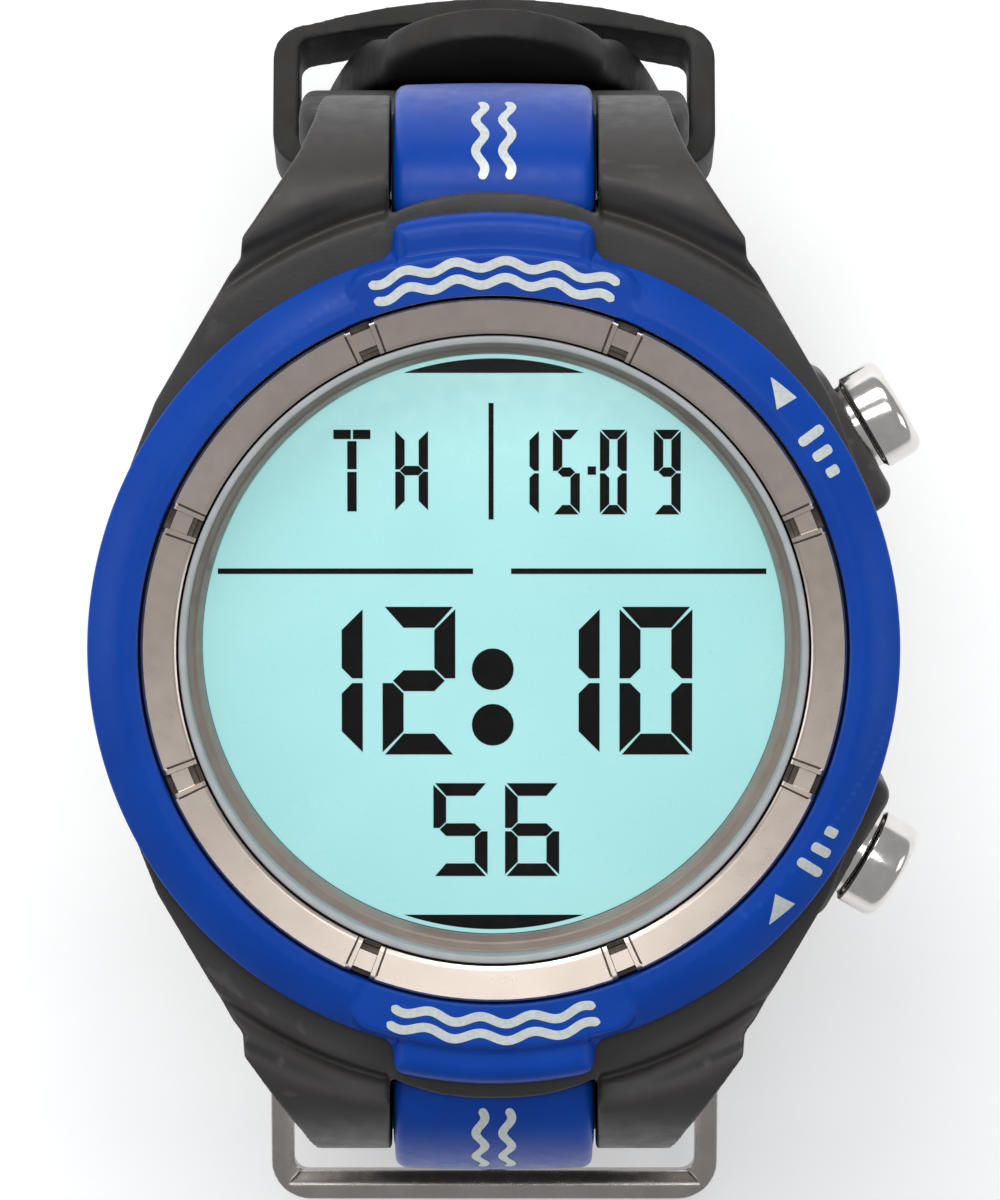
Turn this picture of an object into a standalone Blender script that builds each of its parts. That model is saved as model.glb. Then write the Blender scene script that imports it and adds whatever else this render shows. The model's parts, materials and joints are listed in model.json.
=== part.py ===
"""A wrist-worn dive computer on its closed strap, as separate pieces.

Frame: the display faces +Z, 12 o'clock is +Y, the buttons are on the +X side. The watch stands on its
closed strap loop on the plane Z = 0, with the origin under the middle of the display.
Lengths below are millimetres, and MM turns them into Blender's metres.
"""

import math

import bmesh
import bpy
from mathutils import Matrix, Vector

MM = 0.001

# Head: heights above the plane that the strap loop stands on.
BEZEL_TOP_Z = 62.0
DECK_Z = 59.4
CASE_BACK_Z = 47.0
LENS_SEAT_Z = 58.35
BEZEL_RADIUS = 24.0
BEZEL_BORE = 20.97
TAB_REACH = 25.85
TAB_HALF_WIDTH = 5.95
CASE_RADIUS = 23.9
TRIM_OUTER = 20.8
TRIM_INNER = 18.74
TRIM_NOTCHES = 8
LENS_RADIUS = 18.1
GASKET_OUTER = 18.6
SEAT_RADIUS = 18.67
CAVITY_RADIUS = 17.75
WINDOW_RADIUS = 17.3
BACK_RADIUS = 22.3
CAP_RADIUS = 13.2
SCREW_CIRCLE = 20.75
SCREW_TURN = 7.0
FIT_GAP = 0.1

# Buttons: both axes pass through the display's axis.
BUTTON_ANGLE = 30.4
BUTTON_Z = 53.5
BUTTON_RADIUS = 3.1
BUTTON_FACE = 28.1
STEM_RADIUS = 0.9

# Lugs and strap. The spring bars run along X at +-PIN_Y.
PIN_Y = 26.3
PIN_Z = 51.4
LUG_REACH = 32.4
LUG_GAP_HALF = 6.2
KNUCKLE_HALF = 5.95
STRAP_THICKNESS = 3.0
STRAP_HALF_WIDTH = 12.0
TAIL_HALF_WIDTH = 10.9
CURVE_Y = 9.2
CURVE_Z = 28.0
UNDER_RADIUS = 21.6
TAIL_RADIUS = 25.0
BUCKLE_Y = -24.8
BUCKLE_Z = 11.0
BUCKLE_BAR_RADIUS = 0.9
BUCKLE_INNER_HALF = 13.2
BUCKLE_OUTER_HALF = 14.7
BUCKLE_END_Y = -40.3
KEEPER_ANGLE = -17.0
SLOT_WIDTH = 2.8
SLOT_PITCH = 7.0
SPARE_SLOTS = 10

SEGMENTS = 48
SMALL = 16

COLOURS = {
    "case": ((0.055, 0.050, 0.047), 0.5, 0.0),
    "bezel_blue": ((0.012, 0.07, 0.42), 0.4, 0.0),
    "trim_metal": ((0.34, 0.30, 0.26), 0.3, 1.0),
    "steel": ((0.62, 0.58, 0.54), 0.2, 1.0),
    "glass": ((0.9, 0.95, 0.95), 0.05, 0.0),
    "gasket_grey": ((0.2, 0.22, 0.23), 0.6, 0.0),
    "surround": ((0.24, 0.20, 0.18), 0.5, 0.0),
    "display": ((0.43, 0.84, 0.84), 0.3, 0.0),
    "board_green": ((0.02, 0.16, 0.06), 0.5, 0.0),
    "chip_black": ((0.02, 0.02, 0.02), 0.4, 0.0),
    "white_plastic": ((0.7, 0.7, 0.68), 0.5, 0.0),
    "strap_rubber": ((0.05, 0.046, 0.044), 0.65, 0.0),
    "black_rubber": ((0.02, 0.02, 0.02), 0.7, 0.0),
}


def clear_scene():
    for obj in list(bpy.data.objects):
        bpy.data.objects.remove(obj, do_unlink=True)


def make_collection(name):
    collection = bpy.data.collections.new(name)
    bpy.context.scene.collection.children.link(collection)
    return collection


def make_material(name):
    colour, roughness, metallic = COLOURS[name]
    made = bpy.data.materials.new(name)
    made.use_nodes = True
    shader = made.node_tree.nodes["Principled BSDF"]
    shader.inputs["Base Color"].default_value = (*colour, 1.0)
    shader.inputs["Roughness"].default_value = roughness
    shader.inputs["Metallic"].default_value = metallic
    return made


clear_scene()
PARTS = make_collection("dive_computer")
CUTTERS = make_collection("cutters")
MATERIALS = {name: make_material(name) for name in COLOURS}


def add_object(name, mesh, material=None):
    """A sub-part when it has a material, a hidden cutter when it has none."""
    obj = bpy.data.objects.new(name, mesh)
    if material:
        PARTS.objects.link(obj)
        mesh.materials.append(MATERIALS[material])
        mesh.shade_smooth()
        mesh.set_sharp_from_angle(angle=math.radians(35))
    else:
        CUTTERS.objects.link(obj)
        obj.hide_render = True
        obj.display_type = "WIRE"
    return obj


def combine(target, other, operation):
    """A Boolean of two objects; the other one stays in the file as a hidden helper."""
    modifier = target.modifiers.new(f"{operation.lower()}_{other.name}", "BOOLEAN")
    modifier.operation = operation
    modifier.solver = "EXACT"
    modifier.object = other
    return target


def cut(target, *others):
    for other in others:
        combine(target, other, "DIFFERENCE")


def join(target, *others):
    for other in others:
        combine(target, other, "UNION")


def arc(centre, radius, start, end, count):
    """Points on a circle from one angle in degrees to another, both ends included."""
    angles = [math.radians(start + (end - start) * i / (count - 1)) for i in range(count)]
    return [(centre[0] + radius * math.cos(a), centre[1] + radius * math.sin(a)) for a in angles]


def ellipse(centre, reach, height, start, end, count):
    angles = [math.radians(start + (end - start) * i / (count - 1)) for i in range(count)]
    return [(centre[0] + reach * math.cos(a), centre[1] + height * math.sin(a)) for a in angles]


def turned(name, profile, material=None, segments=SEGMENTS, closed=True):
    """A profile of (radius, z) points turned about Z. It runs down its outer side, top to bottom."""
    mesh = bpy.data.meshes.new(name)
    points = [(radius * MM, 0.0, z * MM) for radius, z in profile]
    edges = [(i, i + 1) for i in range(len(points) - 1)]
    if closed:
        edges.append((len(points) - 1, 0))
    mesh.from_pydata(points, edges, [])
    obj = add_object(name, mesh, material)
    screw = obj.modifiers.new("turn", "SCREW")
    screw.steps = segments
    screw.render_steps = segments
    screw.use_merge_vertices = True
    screw.merge_threshold = 0.00001
    screw.use_smooth_shade = True
    return obj


def ring(name, inner, outer, low, high, material=None, segments=SEGMENTS):
    profile = [(outer, high), (outer, low), (inner, low), (inner, high)]
    return turned(name, profile, material, segments)


def disc(name, radius, low, high, material=None, segments=SEGMENTS):
    profile = [(0.0, high), (radius, high), (radius, low), (0.0, low)]
    return turned(name, profile, material, segments, closed=False)


def torus(name, major, minor, z, material, segments=SEGMENTS, sides=6):
    angles = [-2 * math.pi * i / sides for i in range(sides)]
    profile = [(major + minor * math.cos(a), z + minor * math.sin(a)) for a in angles]
    return turned(name, profile, material, segments)


def block(name, centre, size, material=None):
    mesh = bpy.data.meshes.new(name)
    shape = bmesh.new()
    bmesh.ops.create_cube(shape, size=1.0)
    scale = Matrix.Diagonal((*[side * MM for side in size], 1.0))
    shape.transform(Matrix.Translation(Vector(centre) * MM) @ scale)
    shape.to_mesh(mesh)
    shape.free()
    return add_object(name, mesh, material)


def bevelled(obj, width, segments=2):
    bevel = obj.modifiers.new("edges", "BEVEL")
    bevel.width = width * MM
    bevel.segments = segments
    bevel.limit_method = "ANGLE"
    bevel.angle_limit = math.radians(40)
    return obj


ACROSS_X = Matrix(((0, 0, 1, 0), (1, 0, 0, 0), (0, 1, 0, 0), (0, 0, 0, 1)))


def plate(name, outlines, low, high, material=None, across_x=False):
    """Closed outlines (the first may hold others as holes) extruded from low to high.

    The outline is (x, y) and the extrusion runs along Z; with across_x it is (y, z) and runs along X.
    """
    curve = bpy.data.curves.new(name, "CURVE")
    curve.dimensions = "2D"
    curve.fill_mode = "BOTH"
    curve.extrude = (high - low) / 2 * MM
    for outline in outlines:
        spline = curve.splines.new("POLY")
        spline.points.add(len(outline) - 1)
        for point, (u, v) in zip(spline.points, outline):
            point.co = (u * MM, v * MM, 0.0, 1.0)
        spline.use_cyclic_u = True
    guide = bpy.data.objects.new(name + "_outline", curve)
    bpy.context.scene.collection.objects.link(guide)
    bpy.context.view_layer.update()
    mesh = bpy.data.meshes.new_from_object(guide.evaluated_get(bpy.context.evaluated_depsgraph_get()))
    bpy.data.objects.remove(guide, do_unlink=True)
    shape = bmesh.new()
    shape.from_mesh(mesh)
    bmesh.ops.remove_doubles(shape, verts=shape.verts, dist=0.000001)
    shape.transform(Matrix.Translation((0.0, 0.0, (low + high) / 2 * MM)))
    if across_x:
        shape.transform(ACROSS_X)
    bmesh.ops.recalc_face_normals(shape, faces=shape.faces)
    if shape.calc_volume(signed=True) < 0.0:
        bmesh.ops.reverse_faces(shape, faces=shape.faces)
    shape.to_mesh(mesh)
    shape.free()
    mesh.name = name
    return add_object(name, mesh, material)


def rod(name, radius, y, z, half_length, material=None, segments=SMALL):
    """A cylinder along X, centred on X = 0."""
    obj = disc(name, radius, -half_length, half_length, material, segments)
    obj.location = (0.0, y * MM, z * MM)
    obj.rotation_euler = (0.0, math.radians(90), 0.0)
    return obj


def smooth_path(points, spans):
    """Catmull-Rom points through the given (y, z) points."""
    ends = [points[0], *points, points[-1]]
    path = []
    for before, first, second, after in zip(ends, ends[1:], ends[2:], ends[3:]):
        for step in range(spans):
            t = step / spans
            path.append(tuple(
                0.5 * (2 * q + (r - p) * t + (2 * p - 5 * q + 4 * r - s) * t * t
                       + (3 * q - p - 3 * r + s) * t ** 3)
                for p, q, r, s in zip(before, first, second, after)))
    path.append(points[-1])
    return path


def lengths_along(path):
    total = [0.0]
    for first, second in zip(path, path[1:]):
        total.append(total[-1] + math.dist(first, second))
    return total


def ribbon(name, path, half_width_at, thickness, material=None):
    """A band of the given thickness along a (y, z) path. half_width_at(fraction, distance left) is in X."""
    along = lengths_along(path)
    shape = bmesh.new()
    rows = []
    for (y, z), distance in zip(path, along):
        half = half_width_at(distance / along[-1], along[-1] - distance) * MM
        rows.append([shape.verts.new((side * half, y * MM, z * MM)) for side in (-1, 1)])
    for first, second in zip(rows, rows[1:]):
        shape.faces.new((first[0], first[1], second[1], second[0]))
    mesh = bpy.data.meshes.new(name)
    shape.to_mesh(mesh)
    shape.free()
    obj = add_object(name, mesh, material)
    solidify = obj.modifiers.new("thickness", "SOLIDIFY")
    solidify.thickness = thickness * MM
    solidify.offset = 0.0
    solidify.use_even_offset = True
    return obj


def mirrored(points):
    """The same (y, z) points on the other side of the display."""
    return [(-y, z) for y, z in reversed(points)]


# ---------------------------------------------------------------- head

def case_outline():
    """Plan of the case: a circle with straight flanks, narrowing to the four lug tips."""
    flank = [(21.4, 11.0), (20.0, 14.6), (15.5, 22.2), (14.9, 22.9), (14.75, 24.4), (14.2, 25.2),
             (12.4, 27.6), (11.1, 29.4), (10.4, 31.0), (10.0, LUG_REACH)]
    quarter = arc((0, 0), CASE_RADIUS, 0, 24, 7) + flank
    top = quarter + [(-x, y) for x, y in reversed(quarter)]
    bottom = [(x, -y) for x, y in reversed(top)]
    return top + bottom[1:-1]


def case_side():
    """Side view of the case: flat deck, then rounded lugs that reach below the back."""
    front = ellipse((25.6, 46.4), LUG_REACH - 25.6, 12.4, 90, 0, 9)
    under = [(31.4, 45.4), (29.8, 44.9), (26.5, 45.5), (23.4, CASE_BACK_Z)]
    half = [(25.0, DECK_Z)] + front + under
    return half + mirrored(half)


def strap_recess(name, side):
    """The space between two lugs for the strap's knuckle, round about the spring bar."""
    round_part = arc((PIN_Y, PIN_Z), 7.0, 0, 125, 14)
    outline = round_part + [(22.3, 50.5), (23.1, 48.8), (23.1, 43.0), (35.0, 43.0), (35.0, PIN_Z)]
    if side < 0:
        outline = mirrored(outline)
    return plate(name, [outline], -LUG_GAP_HALF, LUG_GAP_HALF, across_x=True)


def lug_groove():
    """Open-bottomed grooves that hold the lower spring bar's tips and let them leave downwards."""
    outline = [(-PIN_Y - 0.55, PIN_Z + 0.55), (-PIN_Y - 0.55, 43.0), (-24.8, 43.0),
               (-PIN_Y + 0.6, PIN_Z - 1.0), (-PIN_Y + 0.55, PIN_Z + 0.55)]
    return plate("cut_lug_groove", [outline], -7.6, 7.6, across_x=True)


def at_button(obj, side, z=BUTTON_Z):
    """Turns an object made along Z so that it points outwards along a button's axis."""
    obj.rotation_euler = (0.0, math.radians(90), math.radians(BUTTON_ANGLE * side))
    obj.location = (0.0, 0.0, z * MM)
    return obj


def button_boss(side):
    boss = bevelled(block(f"boss_{side}", (22.6, 0, 0), (5.0, 9.4, 8.2)), 1.0)
    boss.rotation_euler = (0.0, 0.0, math.radians(BUTTON_ANGLE * side))
    boss.location = (0.0, 0.0, BUTTON_Z * MM)
    return boss


def button_bore(side):
    """Stem bore, O-ring groove and the counterbore that the cap runs in."""
    profile = [(0.0, 30.0), (3.25, 30.0), (3.25, 23.0), (1.0, 23.0), (1.0, 21.3), (1.75, 21.3),
               (1.75, 20.4), (1.0, 20.4), (1.0, 16.0), (0.0, 16.0)]
    return at_button(turned(f"cut_button_{side}", profile, segments=24, closed=False), side)


def screw_angles():
    return [47.0 + 90.0 * i for i in range(4)]


def around(radius, angle):
    return (radius * math.cos(math.radians(angle)), radius * math.sin(math.radians(angle)))


def make_case():
    case = plate("case_body", [case_outline()], 44.0, DECK_Z, "case")
    side = plate("case_side", [case_side()], -26.0, 26.0, across_x=True)
    combine(case, side, "INTERSECT")
    join(case, ring("case_spigot", 18.0, TRIM_OUTER + 0.07, 58.0, 59.95))
    join(case, button_boss(1), button_boss(-1))
    cut(case, strap_recess("cut_recess_upper", 1), strap_recess("cut_recess_lower", -1))
    cavity = [(0.0, 61.0), (SEAT_RADIUS, 61.0), (SEAT_RADIUS, LENS_SEAT_Z), (CAVITY_RADIUS, LENS_SEAT_Z),
              (CAVITY_RADIUS, 48.9), (18.3, 48.9), (19.2, 48.9), (19.2, 48.25), (BACK_RADIUS + 0.15, 48.25),
              (BACK_RADIUS + 0.15, 46.0), (0.0, 46.0)]
    cut(case, turned("cut_cavity", cavity, closed=False))
    cut(case, button_bore(1), button_bore(-1))
    cut(case, rod("cut_lug_hole", 0.55, PIN_Y, PIN_Z, 7.6), lug_groove())
    for index, angle in enumerate(screw_angles()):
        x, y = around(SCREW_CIRCLE, angle)
        hole = disc(f"cut_screw_{index}", 0.7, 47.5, 51.5, segments=12)
        hole.location = (x * MM, y * MM, 0.0)
        cut(case, hole)
    return case


def make_bezel():
    profile = [(21.6, BEZEL_TOP_Z), (22.7, 61.8), (BEZEL_RADIUS, 60.4), (BEZEL_RADIUS, DECK_Z + 0.05),
               (BEZEL_BORE, DECK_Z + 0.05), (BEZEL_BORE, 61.6)]
    bezel = turned("bezel_ring", profile, "bezel_blue", SEGMENTS)
    tab_side = [(22.3, DECK_Z + 0.05), (TAB_REACH, DECK_Z + 0.05), (TAB_REACH, 60.6), (25.2, 61.5),
                (24.2, 61.75), (22.3, 61.75)]
    for name, outline in (("tab_upper", tab_side), ("tab_lower", mirrored(tab_side))):
        join(bezel, plate(name, [outline], -TAB_HALF_WIDTH, TAB_HALF_WIDTH, across_x=True))
    return bezel


def make_trim_ring():
    profile = [(TRIM_OUTER, 61.45), (TRIM_OUTER, 60.0), (TRIM_INNER, 60.0), (TRIM_INNER, 61.2)]
    trim = turned("trim_ring", profile, "trim_metal")
    for index in range(TRIM_NOTCHES):
        notch = block(f"cut_notch_{index}", (20.2, 0, 61.5), (4.0, 2.2, 1.1))
        notch.rotation_euler = (0.0, 0.0, math.radians(22.5 + 45.0 * index))
        cut(trim, notch)


def make_display_surround():
    """A flange under the lens gasket and the wall round the display, its inner edge sloping to the lens."""
    profile = [(GASKET_OUTER, 58.9), (GASKET_OUTER, 58.39), (17.62, 58.42), (17.6, 57.15),
               (WINDOW_RADIUS, 57.18), (WINDOW_RADIUS + 0.04, 58.6), (LENS_RADIUS, 58.88)]
    turned("display_surround", profile, "surround", segments=44)


def make_display():
    disc("lens", LENS_RADIUS, 59.0, 60.9, "glass")
    ring("lens_gasket", LENS_RADIUS + 0.07, GASKET_OUTER, 59.0, 61.05, "gasket_grey")
    make_display_surround()
    disc("lcd_panel", 17.1, 55.6, 57.0, "display")
    disc("lcd_backlight", 14.2, 54.4, 55.4, "white_plastic", 48)
    for name, side in (("lcd_connector_upper", 1), ("lcd_connector_lower", -1)):
        block(name, (0, 15.3 * side, 54.8), (13, 1.5, 1.3), "gasket_grey")


def button_notch(name, side, low, high):
    notch = block(name, (17.4, 0, (low + high) / 2), (3.1, 4.6, high - low))
    notch.rotation_euler = (0.0, 0.0, math.radians(BUTTON_ANGLE * side))
    return notch


def make_electronics():
    board = disc("circuit_board", 17.2, 53.2, 54.0, "board_green", 48)
    cut(board, button_notch("cut_board_1", 1, 52, 55), button_notch("cut_board_2", -1, 52, 55))
    block("microcontroller", (-15.0, 0, 52.6), (3.0, 5.6, 0.9), "chip_black")
    crystal = disc("quartz_crystal", 0.75, -2.2, 2.2, "steel", SMALL)
    crystal.rotation_euler = (math.radians(90), 0.0, math.radians(-45))
    x, y = around(15.0, 135.0)
    crystal.location = (x * MM, y * MM, 52.1 * MM)
    sensor = disc("pressure_sensor", 1.8, 49.3, 52.9, "steel", 24)
    sensor.location = (0.0, -15.0 * MM, 0.0)
    buzzer = disc("buzzer", 1.85, 50.6, 52.9, "chip_black", 24)
    buzzer.location = (0.0, 15.0 * MM, 0.0)


def make_inner_frame():
    """The plastic spacer round the battery, with a pocket for each part under the board."""
    frame = ring("inner_frame", 12.9, 17.4, 49.1, 52.95, "white_plastic")
    pockets = ((0, 180, 6.4), (1, 135, 5.2), (2, 90, 4.2), (3, 270, 4.2))
    for index, angle, width in pockets:
        pocket = block(f"cut_pocket_{index}", (14.65, 0, 51.5), (4.5, width, 6.0))
        pocket.rotation_euler = (0.0, 0.0, math.radians(angle))
        cut(frame, pocket)
    cut(frame, button_notch("cut_frame_1", 1, 51.3, 54), button_notch("cut_frame_2", -1, 51.3, 54))


def make_battery():
    battery = [(11.9, 52.3), (12.25, 51.9), (12.25, 49.3), (0.0, 49.3)]
    turned("battery", [(0.0, 52.3)] + battery, "steel", 48, closed=False)
    contact = [(-6.0, 53.0), (-3.0, 52.85), (0.0, 52.5), (3.0, 52.85), (6.0, 53.0)]
    ribbon("battery_contact", contact, lambda fraction, left: 1.5, 0.2, "steel")


def make_back():
    back = ring("case_back", CAP_RADIUS + FIT_GAP, BACK_RADIUS, CASE_BACK_Z, 48.2, "steel")
    ring("case_back_gasket", 18.4, 19.1, 48.28, 48.8, "black_rubber")
    for index, angle in enumerate(screw_angles()):
        x, y = around(SCREW_CIRCLE, angle)
        seat_side = [(0.0, 49.0), (0.7, 49.0), (0.7, 47.65), (1.35, 47.65), (1.35, 46.5), (0.0, 46.5)]
        seat = turned(f"cut_seat_{index}", seat_side, segments=12, closed=False)
        head = [(0.0, 51.2), (0.6, 51.2), (0.6, 47.6), (1.25, 47.6), (1.25, 47.05), (0.0, 47.05)]
        screw = turned(f"case_back_screw_{index + 1}", head, "steel", 12, closed=False)
        drive = block(f"cut_drive_{index}", (0, 0, 47.1), (1.5, 0.35, 0.7))
        for obj in (seat, screw, drive):
            obj.location = (x * MM, y * MM, 0.0)
            obj.rotation_euler = (0.0, 0.0, math.radians(SCREW_TURN))
        cut(back, seat)
        cut(screw, drive)
    port = disc("cut_port", 0.8, 46.0, 49.0, segments=12)
    port.location = (0.0, -15.0 * MM, 0.0)
    cut(back, port)


def make_battery_cap():
    profile = [(0.0, 49.0), (11.0, 49.0), (11.0, 48.5), (CAP_RADIUS, 48.5), (CAP_RADIUS, 48.15),
               (12.4, 48.15), (12.4, 47.35), (CAP_RADIUS, 47.35), (CAP_RADIUS, CASE_BACK_Z),
               (0.0, CASE_BACK_Z)]
    cap = turned("battery_cap", profile, "steel", closed=False)
    cut(cap, bevelled(block("cut_coin_slot", (0, 0, 47.1), (13.0, 1.7, 1.6)), 0.3, 1))
    torus("battery_cap_oring", 12.84, 0.37, 47.75, "black_rubber")


def coil(name, radius, wire, low, high, turns, material):
    """A spring about Z as a POLY curve with a round section."""
    per_turn = 12
    count = int(turns * per_turn) + 1
    curve = bpy.data.curves.new(name, "CURVE")
    curve.dimensions = "3D"
    curve.bevel_depth = wire * MM
    curve.bevel_resolution = 1
    curve.use_fill_caps = True
    spline = curve.splines.new("POLY")
    spline.points.add(count - 1)
    for index, point in enumerate(spline.points):
        angle = 2 * math.pi * index / per_turn
        z = low + (high - low) * index / (count - 1)
        point.co = (radius * math.cos(angle) * MM, radius * math.sin(angle) * MM, z * MM, 1.0)
    obj = bpy.data.objects.new(name, curve)
    PARTS.objects.link(obj)
    curve.materials.append(MATERIALS[material])
    return obj


def make_button(name, side):
    """Cap, stem, O-ring, spring and clip, each made along Z and turned to the button's axis."""
    cap = [(0.0, BUTTON_FACE), (2.6, BUTTON_FACE), (BUTTON_RADIUS, 27.6), (BUTTON_RADIUS, 24.2),
           (2.3, 24.2), (2.3, 26.1), (0.97, 26.1), (0.97, 27.1), (0.0, 27.1)]
    stem = [(0.0, 27.0), (STEM_RADIUS, 27.0), (STEM_RADIUS, 17.5), (0.6, 17.5), (0.6, 17.1),
            (STEM_RADIUS, 17.1), (STEM_RADIUS, 16.8), (0.0, 16.8)]
    pieces = (
        turned(name + "_cap", cap, "steel", 24, closed=False),
        turned(name + "_stem", stem, "steel", SMALL, closed=False),
        torus(name + "_oring", 1.35, 0.33, 20.85, "black_rubber", SMALL),
        coil(name + "_spring", 1.6, 0.18, 23.2, 25.9, 3.0, "steel"),
        ring(name + "_clip", 0.7, 1.7, 17.18, 17.42, "steel", SMALL),
    )
    for piece in pieces:
        at_button(piece, side)


# ---------------------------------------------------------------- strap

def neck_outline():
    """Side view of the strap's end between the lugs: a knuckle round the bar, then the neck."""
    front = ellipse((PIN_Y, 45.4), 5.35, 11.45, 100, 0, 9)
    inner = arc((PIN_Y, PIN_Z), 2.6, 225, 165, 5)
    return front + [(31.2, 43.0), (30.6, 41.2), (29.0, 41.2), (28.4, 44.0), (27.6, 46.4)] + inner


def insert_path():
    """Middle line of the coloured insert, over the knuckle and down the neck."""
    return ellipse((PIN_Y, 45.4), 6.1, 12.2, 90, 0, 11) + [(32.35, 43.4), (32.4, 41.8)]


def upper_path():
    """Middle line of the strap half with the buckle: down, round the wrist side, to the buckle bar."""
    wall = [(29.7, 43.3), (30.4, 38.0), (30.8, 33.0)]
    turn = arc((CURVE_Y, CURVE_Z), UNDER_RADIUS, 0, -90, 10)
    end = [(0.0, 6.4), (-9.2, 6.4), (-14.0, 6.6), (-18.5, 7.6), (-21.6, 9.0), (-23.4, 10.2)]
    return smooth_path(wall + turn + end, 2)


def lower_path():
    """Middle line of the half with the tail: through the buckle, under the other half, up to the tip."""
    wall = [(-29.7, 43.3), (-30.5, 38.0), (-31.1, 30.0), (-31.2, 22.0), (-31.0, 16.0), (-30.0, 11.0)]
    under = [(-27.6, 6.8), (-23.6, 4.2), (-19.3, 2.3), (-15.5, 1.7), (-12.8, 1.7), (-9.0, 2.4),
             (-5.5, 3.0), (5.5, 3.0), (9.0, 2.4), (12.8, 1.7), (15.5, 1.8), (18.6, 3.4)]
    turn = arc((CURVE_Y, CURVE_Z), TAIL_RADIUS, -60, -8, 8)
    tip = [(34.4, 28.3), (35.5, 31.3), (37.1, 34.0)]
    return smooth_path(wall + under + turn + tip, 2)


def tail_half_width(fraction, left):
    """Full width at the lugs, narrower along the tail, and a round end."""
    half = STRAP_HALF_WIDTH + (TAIL_HALF_WIDTH - STRAP_HALF_WIDTH) * min(1.0, fraction * 1.6)
    end_length = 11.0
    if left < end_length:
        half *= math.sqrt(max(0.0, 1.0 - (1.0 - left / end_length) ** 2)) * 0.86 + 0.14
    return half


def adjusting_slots():
    """One cutter for each spare slot of the tail, square to the strap."""
    path = lower_path()
    along = lengths_along(path)
    start = next(distance for (y, z), distance in zip(path, along) if z < BUCKLE_Z)
    cutters = []
    for number in range(1, SPARE_SLOTS + 1):
        wanted = start + number * SLOT_PITCH
        index = next(i for i, distance in enumerate(along) if distance > wanted)
        (y, z), (next_y, next_z) = path[index], path[index + 1]
        cutter = block(f"cut_slot_{number}", (0, 0, 0), (SLOT_WIDTH, SLOT_WIDTH, 2 * STRAP_THICKNESS))
        cutter.location = (0.0, y * MM, z * MM)
        cutter.rotation_euler = (math.atan2(next_z - z, next_y - y), 0.0, 0.0)
        cutters.append(cutter)
    return cutters


def make_strap_halves():
    upper = ribbon("strap_upper", upper_path(), lambda fraction, left: STRAP_HALF_WIDTH,
                   STRAP_THICKNESS, "strap_rubber")
    lower = ribbon("strap_lower", lower_path(), tail_half_width, STRAP_THICKNESS, "strap_rubber")
    knuckle = KNUCKLE_HALF
    join(upper, plate("neck_upper", [neck_outline()], -knuckle, knuckle, across_x=True))
    join(lower, plate("neck_lower", [mirrored(neck_outline())], -knuckle, knuckle, across_x=True))
    join(upper, rod("buckle_loop", 2.1, BUCKLE_Y, BUCKLE_Z, STRAP_HALF_WIDTH))
    cut(upper, rod("cut_bar_upper", 0.85, PIN_Y, PIN_Z, 20.0),
        rod("cut_buckle_bar", BUCKLE_BAR_RADIUS + FIT_GAP, BUCKLE_Y, BUCKLE_Z, 20.0),
        block("cut_tongue_gap", (0, -24.8, 11.0), (3.4, 6.0, 5.6)))
    cut(lower, rod("cut_bar_lower", 0.85, -PIN_Y, PIN_Z, 20.0),
        block("cut_tongue_slot", (0, -29.7, 9.6), (SLOT_WIDTH, 7.4, 5.4)), *adjusting_slots())
    for name, path in (("strap_insert_upper", insert_path()), ("strap_insert_lower", mirrored(insert_path()))):
        ribbon(name, path, lambda fraction, left: KNUCKLE_HALF, 1.2, "bezel_blue")


def make_spring_bar(name, y):
    profile = [(0.0, 7.45), (0.45, 7.45), (0.45, 6.0), (0.75, 6.0), (0.75, -6.0), (0.45, -6.0),
               (0.45, -7.45), (0.0, -7.45)]
    bar = turned(name, profile, "steel", SMALL, closed=False)
    bar.location = (0.0, y * MM, PIN_Z * MM)
    bar.rotation_euler = (0.0, math.radians(90), 0.0)


def rounded_box(half_x, low, high, radius, bulge=0.0):
    """A rectangle in (x, v) with round corners, its high side bowed out by bulge."""
    corners = ((half_x, high, 0), (-half_x, high, 90), (-half_x, low, 180), (half_x, low, 270))
    points = []
    for x, v, start in corners:
        centre = (x - math.copysign(radius, x), v - math.copysign(radius, v - (low + high) / 2))
        points += arc(centre, radius, start, start + 90, 4)
        if start == 0 and bulge:
            reach = half_x - radius
            points += [(reach * t, high + bulge * (1 - t * t)) for t in (0.66, 0.33, 0.0, -0.33, -0.66)]
    return points


def make_keepers():
    """Both keepers are loops round the two strap layers, extruded along the strap."""
    fixed = plate("keeper_fixed", [rounded_box(14.0, 0.0, 9.6, 2.2), rounded_box(12.45, 1.2, 8.3, 0.9)],
                  -4.5, 4.5, "strap_rubber")
    fixed.rotation_euler = (math.radians(90), 0.0, 0.0)
    loose = plate("keeper_floating",
                  [rounded_box(14.0, 18.1, 28.2, 2.4, 0.9), rounded_box(12.45, 19.5, 26.85, 1.0, 0.25)],
                  -3.4, 3.4, "strap_rubber")
    # The outline's v axis points away from the wrist at KEEPER_ANGLE about the strap's curve.
    loose.rotation_euler = (math.radians(KEEPER_ANGLE), 0.0, 0.0)
    loose.location = (0.0, CURVE_Y * MM, CURVE_Z * MM)


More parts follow.
